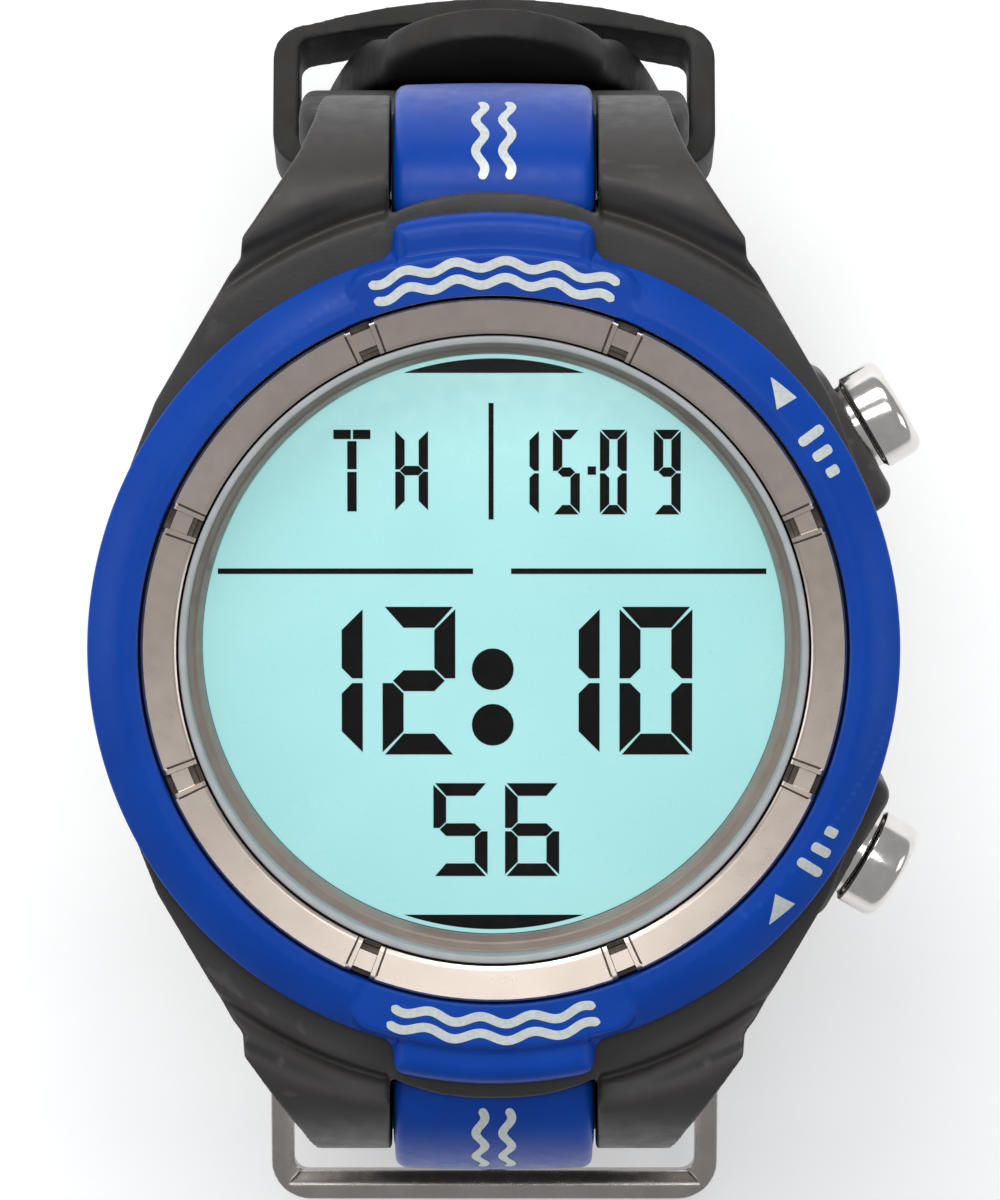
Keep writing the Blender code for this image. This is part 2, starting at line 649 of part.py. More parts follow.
def make_buckle():
    """A bent steel frame that turns on the buckle bar, and the tongue on the same bar."""
    outer = rounded_box(BUCKLE_OUTER_HALF, BUCKLE_END_Y, -22.6, 2.2)
    hole = rounded_box(BUCKLE_INNER_HALF, -38.2, -20.0, 1.0)
    frame = plate("buckle_frame", [outer], 7.0, 13.2, "steel")
    cut(frame, plate("cut_buckle_hole", [hole], 0.0, 20.0))
    side = [(-22.6, 9.6), (-22.6, 12.4), (-26.5, 12.6), (-32.5, 11.6), (BUCKLE_END_Y - 0.5, 10.1),
            (BUCKLE_END_Y - 0.5, 8.0), (-32.5, 9.4), (-26.5, 9.8)]
    combine(frame, plate("buckle_side", [side], -16.0, 16.0, across_x=True), "INTERSECT")
    cut(frame, rod("cut_buckle_pivot", BUCKLE_BAR_RADIUS + FIT_GAP, BUCKLE_Y, BUCKLE_Z, 14.2))
    rod("buckle_bar", BUCKLE_BAR_RADIUS, BUCKLE_Y, BUCKLE_Z, 14.05, "steel")
    path = smooth_path([(-26.4, 10.9), (-29.0, 9.9), (-33.0, 8.2), (-36.5, 6.9), (-39.9, 6.7)], 2)
    tongue = ribbon("buckle_tongue", path, lambda fraction, left: 0.9, 1.3, "steel")
    eye = rod("tongue_eye", 1.9, BUCKLE_Y, BUCKLE_Z, 1.2)
    join(tongue, eye)
    cut(tongue, rod("cut_tongue_eye", BUCKLE_BAR_RADIUS + FIT_GAP, BUCKLE_Y, BUCKLE_Z, 5.0))


make_case()
make_bezel()
make_trim_ring()
make_display()
make_electronics()
make_inner_frame()
make_battery()
make_back()
make_battery_cap()
make_button("button_upper", 1)
make_button("button_lower", -1)
make_strap_halves()
make_spring_bar("spring_bar_upper", PIN_Y)
make_spring_bar("spring_bar_lower", -PIN_Y)
make_keepers()
make_buckle()
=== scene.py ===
"""Looks of a wrist-worn dive computer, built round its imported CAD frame.

The display faces +Z, 12 o'clock is +Y and the two buttons are on the +X side. Lengths are millimetres
until a mesh is made, where MM turns them into metres.
"""

import json
import math

import bmesh
import bpy
import numpy as np
from mathutils import Matrix, Vector


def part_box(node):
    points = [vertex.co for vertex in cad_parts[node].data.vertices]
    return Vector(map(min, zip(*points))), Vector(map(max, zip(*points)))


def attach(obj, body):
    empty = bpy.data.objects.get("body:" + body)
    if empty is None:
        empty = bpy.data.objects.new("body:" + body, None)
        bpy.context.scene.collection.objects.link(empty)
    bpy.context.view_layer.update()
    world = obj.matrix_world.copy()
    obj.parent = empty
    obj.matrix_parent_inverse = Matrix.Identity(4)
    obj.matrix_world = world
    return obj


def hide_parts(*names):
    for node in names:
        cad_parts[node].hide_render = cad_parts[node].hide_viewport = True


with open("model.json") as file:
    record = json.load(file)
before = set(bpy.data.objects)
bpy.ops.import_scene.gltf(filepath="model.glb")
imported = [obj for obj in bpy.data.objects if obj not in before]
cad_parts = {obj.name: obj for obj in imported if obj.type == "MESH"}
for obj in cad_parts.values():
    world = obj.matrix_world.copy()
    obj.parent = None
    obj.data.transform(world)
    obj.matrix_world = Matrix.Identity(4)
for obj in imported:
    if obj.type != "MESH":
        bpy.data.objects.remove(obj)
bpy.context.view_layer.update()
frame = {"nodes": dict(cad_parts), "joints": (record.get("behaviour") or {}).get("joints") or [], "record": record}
MM = 0.001
JOINTS = {joint["name"]: joint for joint in frame["joints"]}


def low(node):
    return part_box(node)[0] / MM


def high(node):
    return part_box(node)[1] / MM


def pivot(joint):
    return Vector(JOINTS[joint]["pos_m"]) / MM


# Places and sizes that come from the frame.
BEZEL_TOP = high("bezel_ring").z
BEZEL_BASE = low("bezel_ring").z
BEZEL_RADIUS = high("bezel_ring").x
TAB_REACH = high("bezel_ring").y
DECK = BEZEL_BASE - 0.05
TRIM_OUTER = high("trim_ring").x
TRIM_TOP = high("trim_ring").z
TRIM_BASE = low("trim_ring").z
LENS_RADIUS = high("lens").x
LENS_TOP = high("lens").z
LENS_BASE = low("lens").z
GASKET_OUTER = high("lens_gasket").x
GASKET_TOP = high("lens_gasket").z
WALL_TOP = high("display_surround").z
WALL_BASE = low("display_surround").z
PANEL_TOP = high("lcd_panel").z
PANEL_RADIUS = high("lcd_panel").x
BACK_Z = low("case_back").z
BACK_RADIUS = high("case_back").x
LUG_REACH = high("case_body").y
PIN_Y, PIN_Z = pivot("strap_loop_swing").yz
BAR_Y, BAR_Z = pivot("buckle_frame_tilt").yz
CURVE_Y, CURVE_Z = pivot("keeper_floating_slide").yz
STRAP_HALF_WIDTH = high("strap_upper").x
INSERT_HALF_WIDTH = high("strap_insert_upper").x
BUTTON_Z = (low("button_upper_cap").z + high("button_upper_cap").z) / 2
BUTTON_AXIS = Vector(JOINTS["button_upper_press"]["axis"])
BUTTON_ANGLE = abs(math.degrees(math.atan(BUTTON_AXIS.y / BUTTON_AXIS.x)))

# Sizes of the fine shape.
CASE_RADIUS = 23.9
BEZEL_BORE = 20.97
TAB_HALF_WIDTH = 5.95
LUG_GAP_HALF = 6.2
NECK_HALF_WIDTH = 6.05
KNUCKLE_Z = 45.4
INSERT_REACH = 6.1
INSERT_RISE = 12.2
TRIM_INNER = 18.74
WINDOW_RADIUS = 17.37
WINDOW_FLAT = 16.23
WALL_OUTER = 17.95
BUTTON_FACE = 28.1
STRAP_THICKNESS = 3.0
TAIL_HALF_WIDTH = 10.9
UNDER_RADIUS = 21.6
TAIL_RADIUS = 25.0
LUG_CENTRE = (25.6, 46.4)
PUSHER_FOOT = 24.2
PUSHER_HOLLOW = 27.03
ROUND = 240
SIDEWAYS = Matrix.Rotation(math.radians(90), 4, "Y")


# ---------------------------------------------------------------- shapes in the plane

def ellipse(centre, reach, height, start, end, count):
    angles = np.radians(np.linspace(start, end, count))
    return [(centre[0] + reach * math.cos(a), centre[1] + height * math.sin(a)) for a in angles]


def arc(centre, radius, start, end, count):
    return ellipse(centre, radius, radius, start, end, count)


def mirrored(points):
    return [(-u, v) for u, v in reversed(points)]


def rounded(corners, steps=5, closed=True):
    """An outline whose (u, v, radius) corners are rounded off by their own radius."""
    outline = []
    last = len(corners) - 1
    for index, (u, v, radius) in enumerate(corners):
        here = Vector((u, v))
        if radius <= 0 or (not closed and index in (0, last)):
            outline.append((u, v))
            continue
        before = Vector(corners[index - 1][:2]) - here
        after = Vector(corners[(index + 1) % (last + 1)][:2]) - here
        half = before.angle(after) / 2
        reach = min(radius / math.tan(half), 0.49 * before.length, 0.49 * after.length)
        middle = here + (before.normalized() + after.normalized()).normalized() * reach / math.cos(half)
        start = here + before.normalized() * reach - middle
        end = here + after.normalized() * reach - middle
        turn = start.angle_signed(end)
        for step in range(steps + 1):
            spoke = start.copy()
            spoke.rotate(Matrix.Rotation(-turn * step / steps, 2))
            outline.append(tuple(middle + spoke))
    return outline


def smooth_path(points, spans):
    """Catmull-Rom points through the given ones."""
    ends = [points[0], *points, points[-1]]
    path = []
    for before, first, second, after in zip(ends, ends[1:], ends[2:], ends[3:]):
        for step in range(spans):
            t = step / spans
            path.append(tuple(
                0.5 * (2 * q + (r - p) * t + (2 * p - 5 * q + 4 * r - s) * t * t
                       + (3 * q - p - 3 * r + s) * t ** 3)
                for p, q, r, s in zip(before, first, second, after)))
    path.append(tuple(points[-1]))
    return path


def lengths_along(path):
    total = [0.0]
    for first, second in zip(path, path[1:]):
        total.append(total[-1] + math.dist(first, second))
    return total


def directions(line):
    """Unit vectors along a line of points."""
    ahead = np.gradient(line, axis=0)
    return ahead / np.linalg.norm(ahead, axis=1)[:, None]


def ring_points(radius, z, angles):
    """Points round the display's axis, at radii and heights that may differ from angle to angle."""
    return np.stack([radius * np.cos(angles), radius * np.sin(angles), z + 0.0 * angles], axis=1)


def smoothstep(value, start, end):
    t = np.clip((value - start) / (end - start), 0.0, 1.0)
    return t * t * (3 - 2 * t)


# ---------------------------------------------------------------- solids

def solid(name, points, faces):
    """An object in the scene from millimetre points, with its faces turned outwards."""
    mesh = bpy.data.meshes.new(name)
    mesh.from_pydata((np.asarray(points, float) * MM).tolist(), [], faces)
    shape = bmesh.new()
    shape.from_mesh(mesh)
    bmesh.ops.recalc_face_normals(shape, faces=shape.faces)
    if shape.calc_volume(signed=True) < 0.0:
        bmesh.ops.reverse_faces(shape, faces=shape.faces)
    shape.to_mesh(mesh)
    shape.free()
    obj = bpy.data.objects.new(name, mesh)
    bpy.context.scene.collection.objects.link(obj)
    return obj


def grid_faces(rows, count, first=0, along=False):
    """Faces between rows rings of count points; along joins the last ring to the first as well."""
    faces = []
    for row in range(rows if along else rows - 1):
        here = first + row * count
        there = first + (row + 1) % rows * count
        for column in range(count):
            across = (column + 1) % count
            faces.append((here + column, here + across, there + across, there + column))
    return faces


def tube_faces(rows, count, first=0):
    """Faces of a tube of rows rings of count points, with both ends capped."""
    start = tuple(range(first, first + count))
    end = tuple(range(first + rows * count - 1, first + (rows - 1) * count - 1, -1))
    return [*grid_faces(rows, count, first), start, end]


def turned(name, profile, segments=ROUND):
    """A (radius, z) outline turned about Z. One that starts and ends on the axis makes a full solid."""
    on_axis = profile[0][0] == 0.0 and profile[-1][0] == 0.0
    rings = profile[1:-1] if on_axis else profile
    angles = np.linspace(0.0, 2 * math.pi, segments, endpoint=False)
    points = [(r * math.cos(a), r * math.sin(a), z) for r, z in rings for a in angles]
    faces = grid_faces(len(rings), segments, along=not on_axis)
    if on_axis:
        top, bottom = len(points), len(points) + 1
        points += [(0.0, 0.0, profile[0][1]), (0.0, 0.0, profile[-1][1])]
        last = (len(rings) - 1) * segments
        for i in range(segments):
            faces.append((top, i, (i + 1) % segments))
            faces.append((bottom, last + (i + 1) % segments, last + i))
    return solid(name, points, faces)


def prism(name, outline, start, end, across_x=False):
    """An outline in (x, y) extruded along Z, or one in (y, z) extruded along X."""
    if across_x:
        points = [(x, u, v) for x in (start, end) for u, v in outline]
    else:
        points = [(u, v, z) for z in (start, end) for u, v in outline]
    return solid(name, points, tube_faces(2, len(outline)))


def block(name, centre, size):
    x, y, z = (side / 2 for side in size)
    obj = prism(name, [(-x, -y), (x, -y), (x, y), (-x, y)], -z, z)
    obj.location = Vector(centre) * MM
    return obj


def sweep(name, path, section_at):
    """A closed band along a (y, z) path; section_at(length, whole) gives its (x, outward) outline."""
    along = lengths_along(path)
    line = np.array(path)
    points = []
    for (y, z), (dy, dz), distance in zip(line, directions(line), along):
        for x, out in section_at(distance, along[-1]):
            points.append((x, y - dz * out, z + dy * out))
    count = len(section_at(0.0, along[-1]))
    return solid(name, points, tube_faces(len(path), count))


def combine(target, other, operation):
    modifier = target.modifiers.new(operation, "BOOLEAN")
    modifier.operation = operation
    modifier.solver = "EXACT"
    modifier.object = other
    settle(target)
    bpy.data.objects.remove(other, do_unlink=True)
    return target


def cut(target, *others):
    for other in others:
        combine(target, other, "DIFFERENCE")
    return target


def join(target, *others):
    for other in others:
        combine(target, other, "UNION")
    return target


def settle(obj):
    """Applies the modifiers and the place of an object to its mesh."""
    bpy.context.view_layer.update()
    graph = bpy.context.evaluated_depsgraph_get()
    mesh = bpy.data.meshes.new_from_object(obj.evaluated_get(graph))
    mesh.transform(obj.matrix_world)
    obj.modifiers.clear()
    obj.data = mesh
    obj.matrix_world = Matrix.Identity(4)
    bpy.context.view_layer.update()
    return obj


def moulded(obj, voxel, smoothing=4, keep=0.3, reshape=None):
    """Rounds every edge with a fine remesh, as on a moulded or tumbled piece, then thins the mesh out.

    reshape(points in mm) returns moved points, for shapes that are easier as a displacement.
    """
    settle(obj)
    remesh = obj.modifiers.new("remesh", "REMESH")
    remesh.mode = "VOXEL"
    remesh.voxel_size = voxel * MM * 1.0
    smooth = obj.modifiers.new("smooth", "SMOOTH")
    smooth.iterations = smoothing
    smooth.factor = 0.5
    settle(obj)
    if reshape:
        count = len(obj.data.vertices)
        points = np.empty(count * 3, np.float32)
        obj.data.vertices.foreach_get("co", points)
        moved = reshape(points.reshape(-1, 3).astype(float) / MM) * MM
        obj.data.vertices.foreach_set("co", moved.astype(np.float32).ravel())
        obj.data.update()
    thin = obj.modifiers.new("thin", "DECIMATE")
    thin.ratio = keep
    return settle(obj)


def bevelled(obj, width):
    bevel = obj.modifiers.new("edges", "BEVEL")
    bevel.width = width * MM
    bevel.segments = 4
    bevel.limit_method = "ANGLE"
    bevel.angle_limit = math.radians(35)
    return settle(obj)


def at_button(obj, side):
    """Turns an object made along Z so that it points outwards along a button's axis."""
    turn = Matrix.Rotation(math.radians(BUTTON_ANGLE * side), 4, "Z") @ SIDEWAYS
    obj.data.transform(Matrix.Translation((0, 0, BUTTON_Z * MM)) @ turn)
    return obj


def laid_across(obj, y, z):
    """Turns an object made along Z so that it lies along X, through (y, z)."""
    obj.data.transform(Matrix.Translation((0, y * MM, z * MM)) @ SIDEWAYS)
    return obj


def finished(obj, finish, body, nodes=(), angle=38):
    """The last step of every piece: finish, smooth shading, the body it rides on and what it stands for."""
    obj.data.materials.clear()
    obj.data.materials.append(MATERIALS[finish])
    obj.data.shade_smooth()
    obj.data.set_sharp_from_angle(angle=math.radians(angle))
    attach(obj, body)
    if nodes:
        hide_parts(*nodes)
    return obj


# ---------------------------------------------------------------- materials

MATERIALS = {}


class Finish:
    """A Principled material whose colour, roughness and bump come from noise in the object's own space."""

    def __init__(self, name, **inputs):
        material = bpy.data.materials.new("look_" + name)
        material.use_nodes = True
        MATERIALS[name] = material
        self.tree = material.node_tree
        self.shader = self.tree.nodes["Principled BSDF"]
        for key, value in inputs.items():
            self.shader.inputs[key.replace("_", " ")].default_value = value
        self.place = self.node("TexCoord").outputs["Object"]

    def node(self, kind, **settings):
        made = self.tree.nodes.new("ShaderNode" + kind)
        for key, value in settings.items():
            setattr(made, key, value)
        return made

    def link(self, source, target):
        self.tree.links.new(source, target)

    def noise(self, size, detail=3.0, stretch=None, place=None):
        """Noise whose features are about size millimetres across, or stretched along an axis."""
        noise = self.node("TexNoise")
        noise.inputs["Scale"].default_value = 1.0 / (size * MM)
        noise.inputs["Detail"].default_value = detail
        place = place or self.place
        if stretch:
            mapping = self.node("Mapping")
            mapping.inputs["Scale"].default_value = stretch
            self.link(place, mapping.inputs["Vector"])
            place = mapping.outputs["Vector"]
        self.link(place, noise.inputs["Vector"])
        return noise.outputs["Fac"]

    def ranged(self, value, start, end, low_in=0.3, high_in=0.7):
        scale = self.node("MapRange")
        scale.inputs["From Min"].default_value = low_in
        scale.inputs["From Max"].default_value = high_in
        scale.inputs["To Min"].default_value = start
        scale.inputs["To Max"].default_value = end
        self.link(value, scale.inputs["Value"])
        return scale.outputs["Result"]

    def mixed(self, first, second, factor):
        mix = self.node("Mix", data_type="RGBA")
        for socket, value in ((mix.inputs[6], first), (mix.inputs[7], second)):
            if isinstance(value, tuple):
                socket.default_value = (*value, 1.0)
            else:
                self.link(value, socket)
        self.link(factor, mix.inputs[0])
        return mix.outputs[2]

    def colour(self, first, second, size, detail=3.0):
        factor = self.ranged(self.noise(size, detail), 0.0, 1.0)
        self.base = self.mixed(first, second, factor)
        self.link(self.base, self.shader.inputs["Base Color"])
        return self

    def rough(self, first, second, size):
        value = self.ranged(self.noise(size), first, second)
        self.link(value, self.shader.inputs["Roughness"])
        return self

    def grain(self, size, depth, detail=2.0, stretch=None, place=None):
        """A bump of depth millimetres with features about size millimetres across."""
        bump = self.node("Bump")
        bump.inputs["Strength"].default_value = 1.0
        bump.inputs["Distance"].default_value = depth * MM
        self.link(self.noise(size, detail, stretch, place), bump.inputs["Height"])
        if self.shader.inputs["Normal"].is_linked:
            self.link(self.shader.inputs["Normal"].links[0].from_socket, bump.inputs["Normal"])
        self.link(bump.outputs["Normal"], self.shader.inputs["Normal"])
        return self

    def worn(self, colour, amount):
        """Edges rubbed lighter or brighter, broken up by noise."""
        edge = self.ranged(self.node("NewGeometry").outputs["Pointiness"], 0.0, amount, 0.52, 0.62)
        patchy = self.ranged(self.noise(1.5), 0.3, 1.0)
        both = self.node("Math", operation="MULTIPLY")
        self.link(edge, both.inputs[0])
        self.link(patchy, both.inputs[1])
        self.base = self.mixed(self.base, colour, both.outputs["Value"])
        self.link(self.base, self.shader.inputs["Base Color"])
        return self

    def round_place(self):
        """(radius, angle, height) round the display's axis, for marks that a lathe leaves."""
        split = self.node("SeparateXYZ")
        self.link(self.place, split.inputs["Vector"])
        angle = self.node("Math", operation="ARCTAN2")
        self.link(split.outputs["Y"], angle.inputs[0])
        self.link(split.outputs["X"], angle.inputs[1])
        flat = self.node("CombineXYZ")
        self.link(split.outputs["X"], flat.inputs["X"])
        self.link(split.outputs["Y"], flat.inputs["Y"])
        radius = self.node("VectorMath", operation="LENGTH")
        self.link(flat.outputs["Vector"], radius.inputs[0])
        joined = self.node("CombineXYZ")
        self.link(radius.outputs["Value"], joined.inputs["X"])
        self.link(angle.outputs["Value"], joined.inputs["Y"])
        self.link(split.outputs["Z"], joined.inputs["Z"])
        return joined.outputs["Vector"]


def make_materials():
    """One finish for each slot of the record, and a few more for printed and painted marks and for painted shade
    in the trim ring's notches.
    """
    case = Finish("case", Specular_IOR_Level=0.24)
    case.colour((0.036, 0.0335, 0.032), (0.046, 0.043, 0.041), 6.0)
    case.rough(0.40, 0.52, 1.2).grain(0.22, 0.012, 3.0).worn((0.12, 0.115, 0.11), 0.35)

    blue = Finish("bezel_blue", Specular_IOR_Level=0.16)
    blue.colour((0.0010, 0.042, 0.300), (0.0016, 0.052, 0.350), 5.0)
    blue.rough(0.32, 0.42, 0.9).grain(0.16, 0.005, 3.0).worn((0.03, 0.13, 0.55), 0.25)

    trim = Finish("trim_metal", Metallic=1.0)
    lathe = trim.round_place()
    trim.colour((0.53, 0.455, 0.395), (0.58, 0.50, 0.44), 4.0, 2.0)
    trim.rough(0.27, 0.31, 0.8).grain(0.05, 0.0010, 2.0, (1.0, 0.012, 1.0), lathe)
    trim.worn((0.86, 0.81, 0.75), 0.4)

    steel = Finish("steel", Metallic=1.0)
    steel.colour((0.46, 0.44, 0.42), (0.56, 0.54, 0.51), 1.5)
    steel.rough(0.24, 0.36, 0.7).grain(0.06, 0.0012, 2.0, (1.0, 0.02, 1.0), steel.round_place())
    steel.worn((0.8, 0.78, 0.75), 0.5)

    polished = Finish("polished_steel", Metallic=1.0)
    polished.colour((0.66, 0.63, 0.60), (0.74, 0.71, 0.68), 1.2)
    polished.rough(0.10, 0.19, 0.5).grain(0.4, 0.0015)

    buckle = Finish("buckle_metal", Metallic=1.0)
    buckle.colour((0.40, 0.365, 0.34), (0.46, 0.42, 0.395), 2.5)
    buckle.rough(0.22, 0.29, 0.9).grain(0.5, 0.0010, 3.0)

    glass = Finish("glass", Alpha=0.045, Specular_IOR_Level=0.5)
    glass.colour((0.006, 0.010, 0.012), (0.010, 0.014, 0.016), 8.0).rough(0.02, 0.05, 4.0)

    gasket = Finish("gasket_grey")
    gasket.colour((0.34, 0.36, 0.37), (0.40, 0.42, 0.43), 1.5).rough(0.5, 0.65, 0.8).grain(0.2, 0.006)

    surround = Finish("surround", Metallic=0.2)
    surround.colour((0.27, 0.195, 0.165), (0.33, 0.245, 0.205), 2.0, 4.0)
    surround.rough(0.32, 0.5, 0.8).grain(0.3, 0.006)

    # Painted light: the panel's brightness is emission, a glow that stands in for the light falling on it under
    # the crystal.
    display = Finish("display", Emission_Strength=0.68)
    display.colour((0.17, 0.33, 0.33), (0.19, 0.36, 0.36), 9.0).rough(0.25, 0.4, 1.0)
    clouds = display.ranged(display.noise(12.0), 0.0, 1.0)
    painted_glow = display.mixed((0.40, 0.80, 0.80), (0.46, 0.86, 0.86), clouds)
    display.link(painted_glow, display.shader.inputs["Emission Color"])

    ink = Finish("display_ink", Specular_IOR_Level=0.1)
    ink.colour((0.003, 0.003, 0.0025), (0.006, 0.006, 0.005), 0.8).rough(0.3, 0.45, 0.5)

    paint = Finish("silver_paint", Metallic=0.25)
    paint.colour((0.50, 0.54, 0.53), (0.62, 0.66, 0.65), 0.25, 4.0).rough(0.38, 0.55, 0.3)
    paint.grain(0.12, 0.006, 3.0)

    # Painted shade: a dark finish for the faces deep in the trim ring's notches, where the narrow slots lie in
    # shade.
    recess = Finish("trim_recess_shade", Metallic=0.8)
    recess.colour((0.085, 0.072, 0.062), (0.13, 0.11, 0.095), 0.6, 4.0).rough(0.4, 0.55, 0.4)
    recess.grain(0.2, 0.004)

    board = Finish("board_green")
    board.colour((0.010, 0.085, 0.035), (0.016, 0.14, 0.055), 0.9).rough(0.3, 0.5, 0.6).grain(0.5, 0.01)

    chip = Finish("chip_black")
    chip.colour((0.012, 0.012, 0.013), (0.022, 0.022, 0.023), 0.4).rough(0.4, 0.6, 0.3).grain(0.08, 0.004)

    white = Finish("white_plastic", Subsurface_Weight=0.05)
    white.colour((0.62, 0.62, 0.60), (0.70, 0.70, 0.68), 3.0).rough(0.4, 0.55, 1.0).grain(0.3, 0.006)

    for name, dark, light in (("strap_rubber", (0.026, 0.0245, 0.0235), (0.035, 0.033, 0.0315)),
                              ("black_rubber", (0.010, 0.010, 0.010), (0.017, 0.017, 0.017))):
        rubber = Finish(name, Specular_IOR_Level=0.16)
        rubber.colour(dark, light, 4.0).rough(0.5, 0.66, 1.0).grain(0.16, 0.010, 3.0)
        rubber.worn((0.065, 0.062, 0.060), 0.3)

    floor = Finish("studio_floor", Emission_Color=(1.0, 1.0, 1.0, 1.0), Emission_Strength=0.18)
    floor.colour((0.93, 0.93, 0.93), (0.96, 0.96, 0.96), 60.0).rough(0.6, 0.8, 20.0).grain(2.0, 0.02)


make_materials()


# ---------------------------------------------------------------- bezel

PAD_TOP = BEZEL_TOP - 0.12
TAB_TOP = BEZEL_TOP - 0.62
PAD_HALF_WIDTH = 8.4
PAD_OUTER = 23.55
PAD_CORNER = 1.2
CREST_RADIUS = 21.7


def tab_outline():
    """Quarter of the bezel's outer edge as (x, y): half a tab at 12 o'clock, then the round rim."""
    corner = math.sqrt(TAB_REACH ** 2 - TAB_HALF_WIDTH ** 2)
    foot = math.sqrt(BEZEL_RADIUS ** 2 - TAB_HALF_WIDTH ** 2)
    crown = [(x, math.sqrt(TAB_REACH ** 2 - x * x), 0) for x in (0.0, 1.5, 3.0, 4.4)]
    corners = crown + [(TAB_HALF_WIDTH, corner, 2.1), (TAB_HALF_WIDTH, foot, 1.1)]
    rim = arc((0, 0), BEZEL_RADIUS, 70, 0, 40)
    corners.append((*rim[0], 0))
    return rounded(corners, 10, closed=False) + rim[1:]


TAB_OUTLINE = np.array(tab_outline())


def bezel_edge(angle):
    """Radius of the bezel's outer edge at an angle, with a tab at 12 and at 6 o'clock."""
    angles = np.arctan2(TAB_OUTLINE[:, 0], TAB_OUTLINE[:, 1])
    radii = np.hypot(TAB_OUTLINE[:, 0], TAB_OUTLINE[:, 1])
    from_tab = np.arctan2(np.abs(np.cos(angle)), np.abs(np.sin(angle)))
    return np.interp(from_tab, angles, radii)


def bezel_height(x, y):
    """Height of the bezel's top face: a dome that falls off outwards, two flat pads and two lower tabs."""
    radius = np.hypot(x, y)
    fall = np.clip((radius - CREST_RADIUS) / (BEZEL_RADIUS - CREST_RADIUS), 0.0, 1.2)
    dome = BEZEL_TOP - 0.04 * np.clip(CREST_RADIUS - radius, 0.0, 1.0) - 1.25 * fall ** 1.6
    across = np.arctan2(np.abs(x), np.abs(y)) * 22.5 - (PAD_HALF_WIDTH - PAD_CORNER)
    out = radius - (PAD_OUTER - PAD_CORNER)
    outside = np.hypot(np.maximum(across, 0.0), np.maximum(out, 0.0)) - PAD_CORNER
    pad = 1.0 - smoothstep(outside, -0.15, 0.42)
    ring = dome + (PAD_TOP - dome) * pad
    edge = np.minimum(TAB_REACH - radius, (TAB_HALF_WIDTH + 0.05 - np.abs(x)) * 1.1)
    curl = 1.0 - np.clip(edge / 1.15, 0.0, 1.0)
    tab = TAB_TOP - 1.15 * (1.0 - np.sqrt(1.0 - 0.98 * curl * curl))
    on_tab = 1.0 - smoothstep(np.abs(x), TAB_HALF_WIDTH - 0.1, TAB_HALF_WIDTH + 0.6)
    on_tab = on_tab * smoothstep(radius, 22.4, 23.2)
    low_ring = BEZEL_TOP - 1.29
    return np.maximum(ring, low_ring + (tab - low_ring) * on_tab)


def make_bezel():
    columns, rows = ((1200, 30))
    angles = np.linspace(0.0, 2 * math.pi, columns, endpoint=False)
    edge = bezel_edge(angles)

    def top(radius):
        return bezel_height(radius * np.cos(angles), radius * np.sin(angles))

    rings = [(BEZEL_BORE, BEZEL_BASE), (BEZEL_BORE + 0.02, top(BEZEL_BORE + 0.02) - 0.14)]
    for step in range(rows):
        radius = BEZEL_BORE + 0.1 + (edge - 0.03 - BEZEL_BORE - 0.1) * step / (rows - 1)
        rings.append((radius, top(radius)))
    for drop in (0.12, 0.5):
        rings.append((edge, np.maximum(top(edge) - drop, BEZEL_BASE + 0.1)))
    rings.append((edge - 0.12, BEZEL_BASE))
    points = np.concatenate([ring_points(radius, z, angles) for radius, z in rings])
    bezel = solid("bezel", points, grid_faces(len(rings), columns, along=True))
    finished(bezel, "bezel_blue", "head", ["bezel_ring"], angle=50)


ACROSS = (-1.0, -0.6, -0.2, 0.2, 0.6, 1.0)
PAINT_LIFT = 0.03
PAINT_DEPTH = 0.06


def paint(name, strokes):
    """Thin painted strokes on the bezel. Each is a list of (x, y, half width) along its middle line."""
    ring = [(sign, PAINT_LIFT) for sign in ACROSS] + [(sign, -PAINT_DEPTH) for sign in reversed(ACROSS)]
    points, faces = [], []
    for stroke in strokes:
        line = np.array([(x, y) for x, y, half in stroke])
        ahead = directions(line)
        side = np.stack([-ahead[:, 1], ahead[:, 0]], axis=1)
        first = len(points)
        for (x, y, half), (u, v) in zip(stroke, side):
            for sign, above in ring:
                px, py = x + sign * u * half, y + sign * v * half
                points.append((px, py, float(bezel_height(px, py)) + above))
        faces += tube_faces(len(stroke), len(ring), first)
    finished(solid(name, points, faces), "silver_paint", "head", angle=30)


def on_ring(radius, angle, half):
    return (radius * math.cos(math.radians(angle)), radius * math.sin(math.radians(angle)), half)


def wave(radius, middle, spread, periods, height, half):
    """A wavy stroke along an arc, with round ends."""
    count = int(periods * 22)
    stroke = []
    for i in range(count + 1):
        t = i / count
        end = min(t, 1.0 - t) * count
        width = half * math.sqrt(max(0.04, 1.0 - (1.0 - min(end / 2.0, 1.0)) ** 2))
        bob = height * math.sin(2 * math.pi * periods * t)
        stroke.append(on_ring(radius + bob, middle - spread / 2 + spread * t, width))
    return stroke


def bar(radius, angle, length, half):
    """A short stroke across the bezel with round ends."""
    stroke = []
    for t, wide in ((0.0, 0.35), (0.05, 0.8), (0.15, 1.0), (0.5, 1.0), (0.85, 1.0), (0.95, 0.8), (1.0, 0.35)):
        stroke.append(on_ring(radius + (t - 0.5) * length, angle, half * wide))
    return stroke


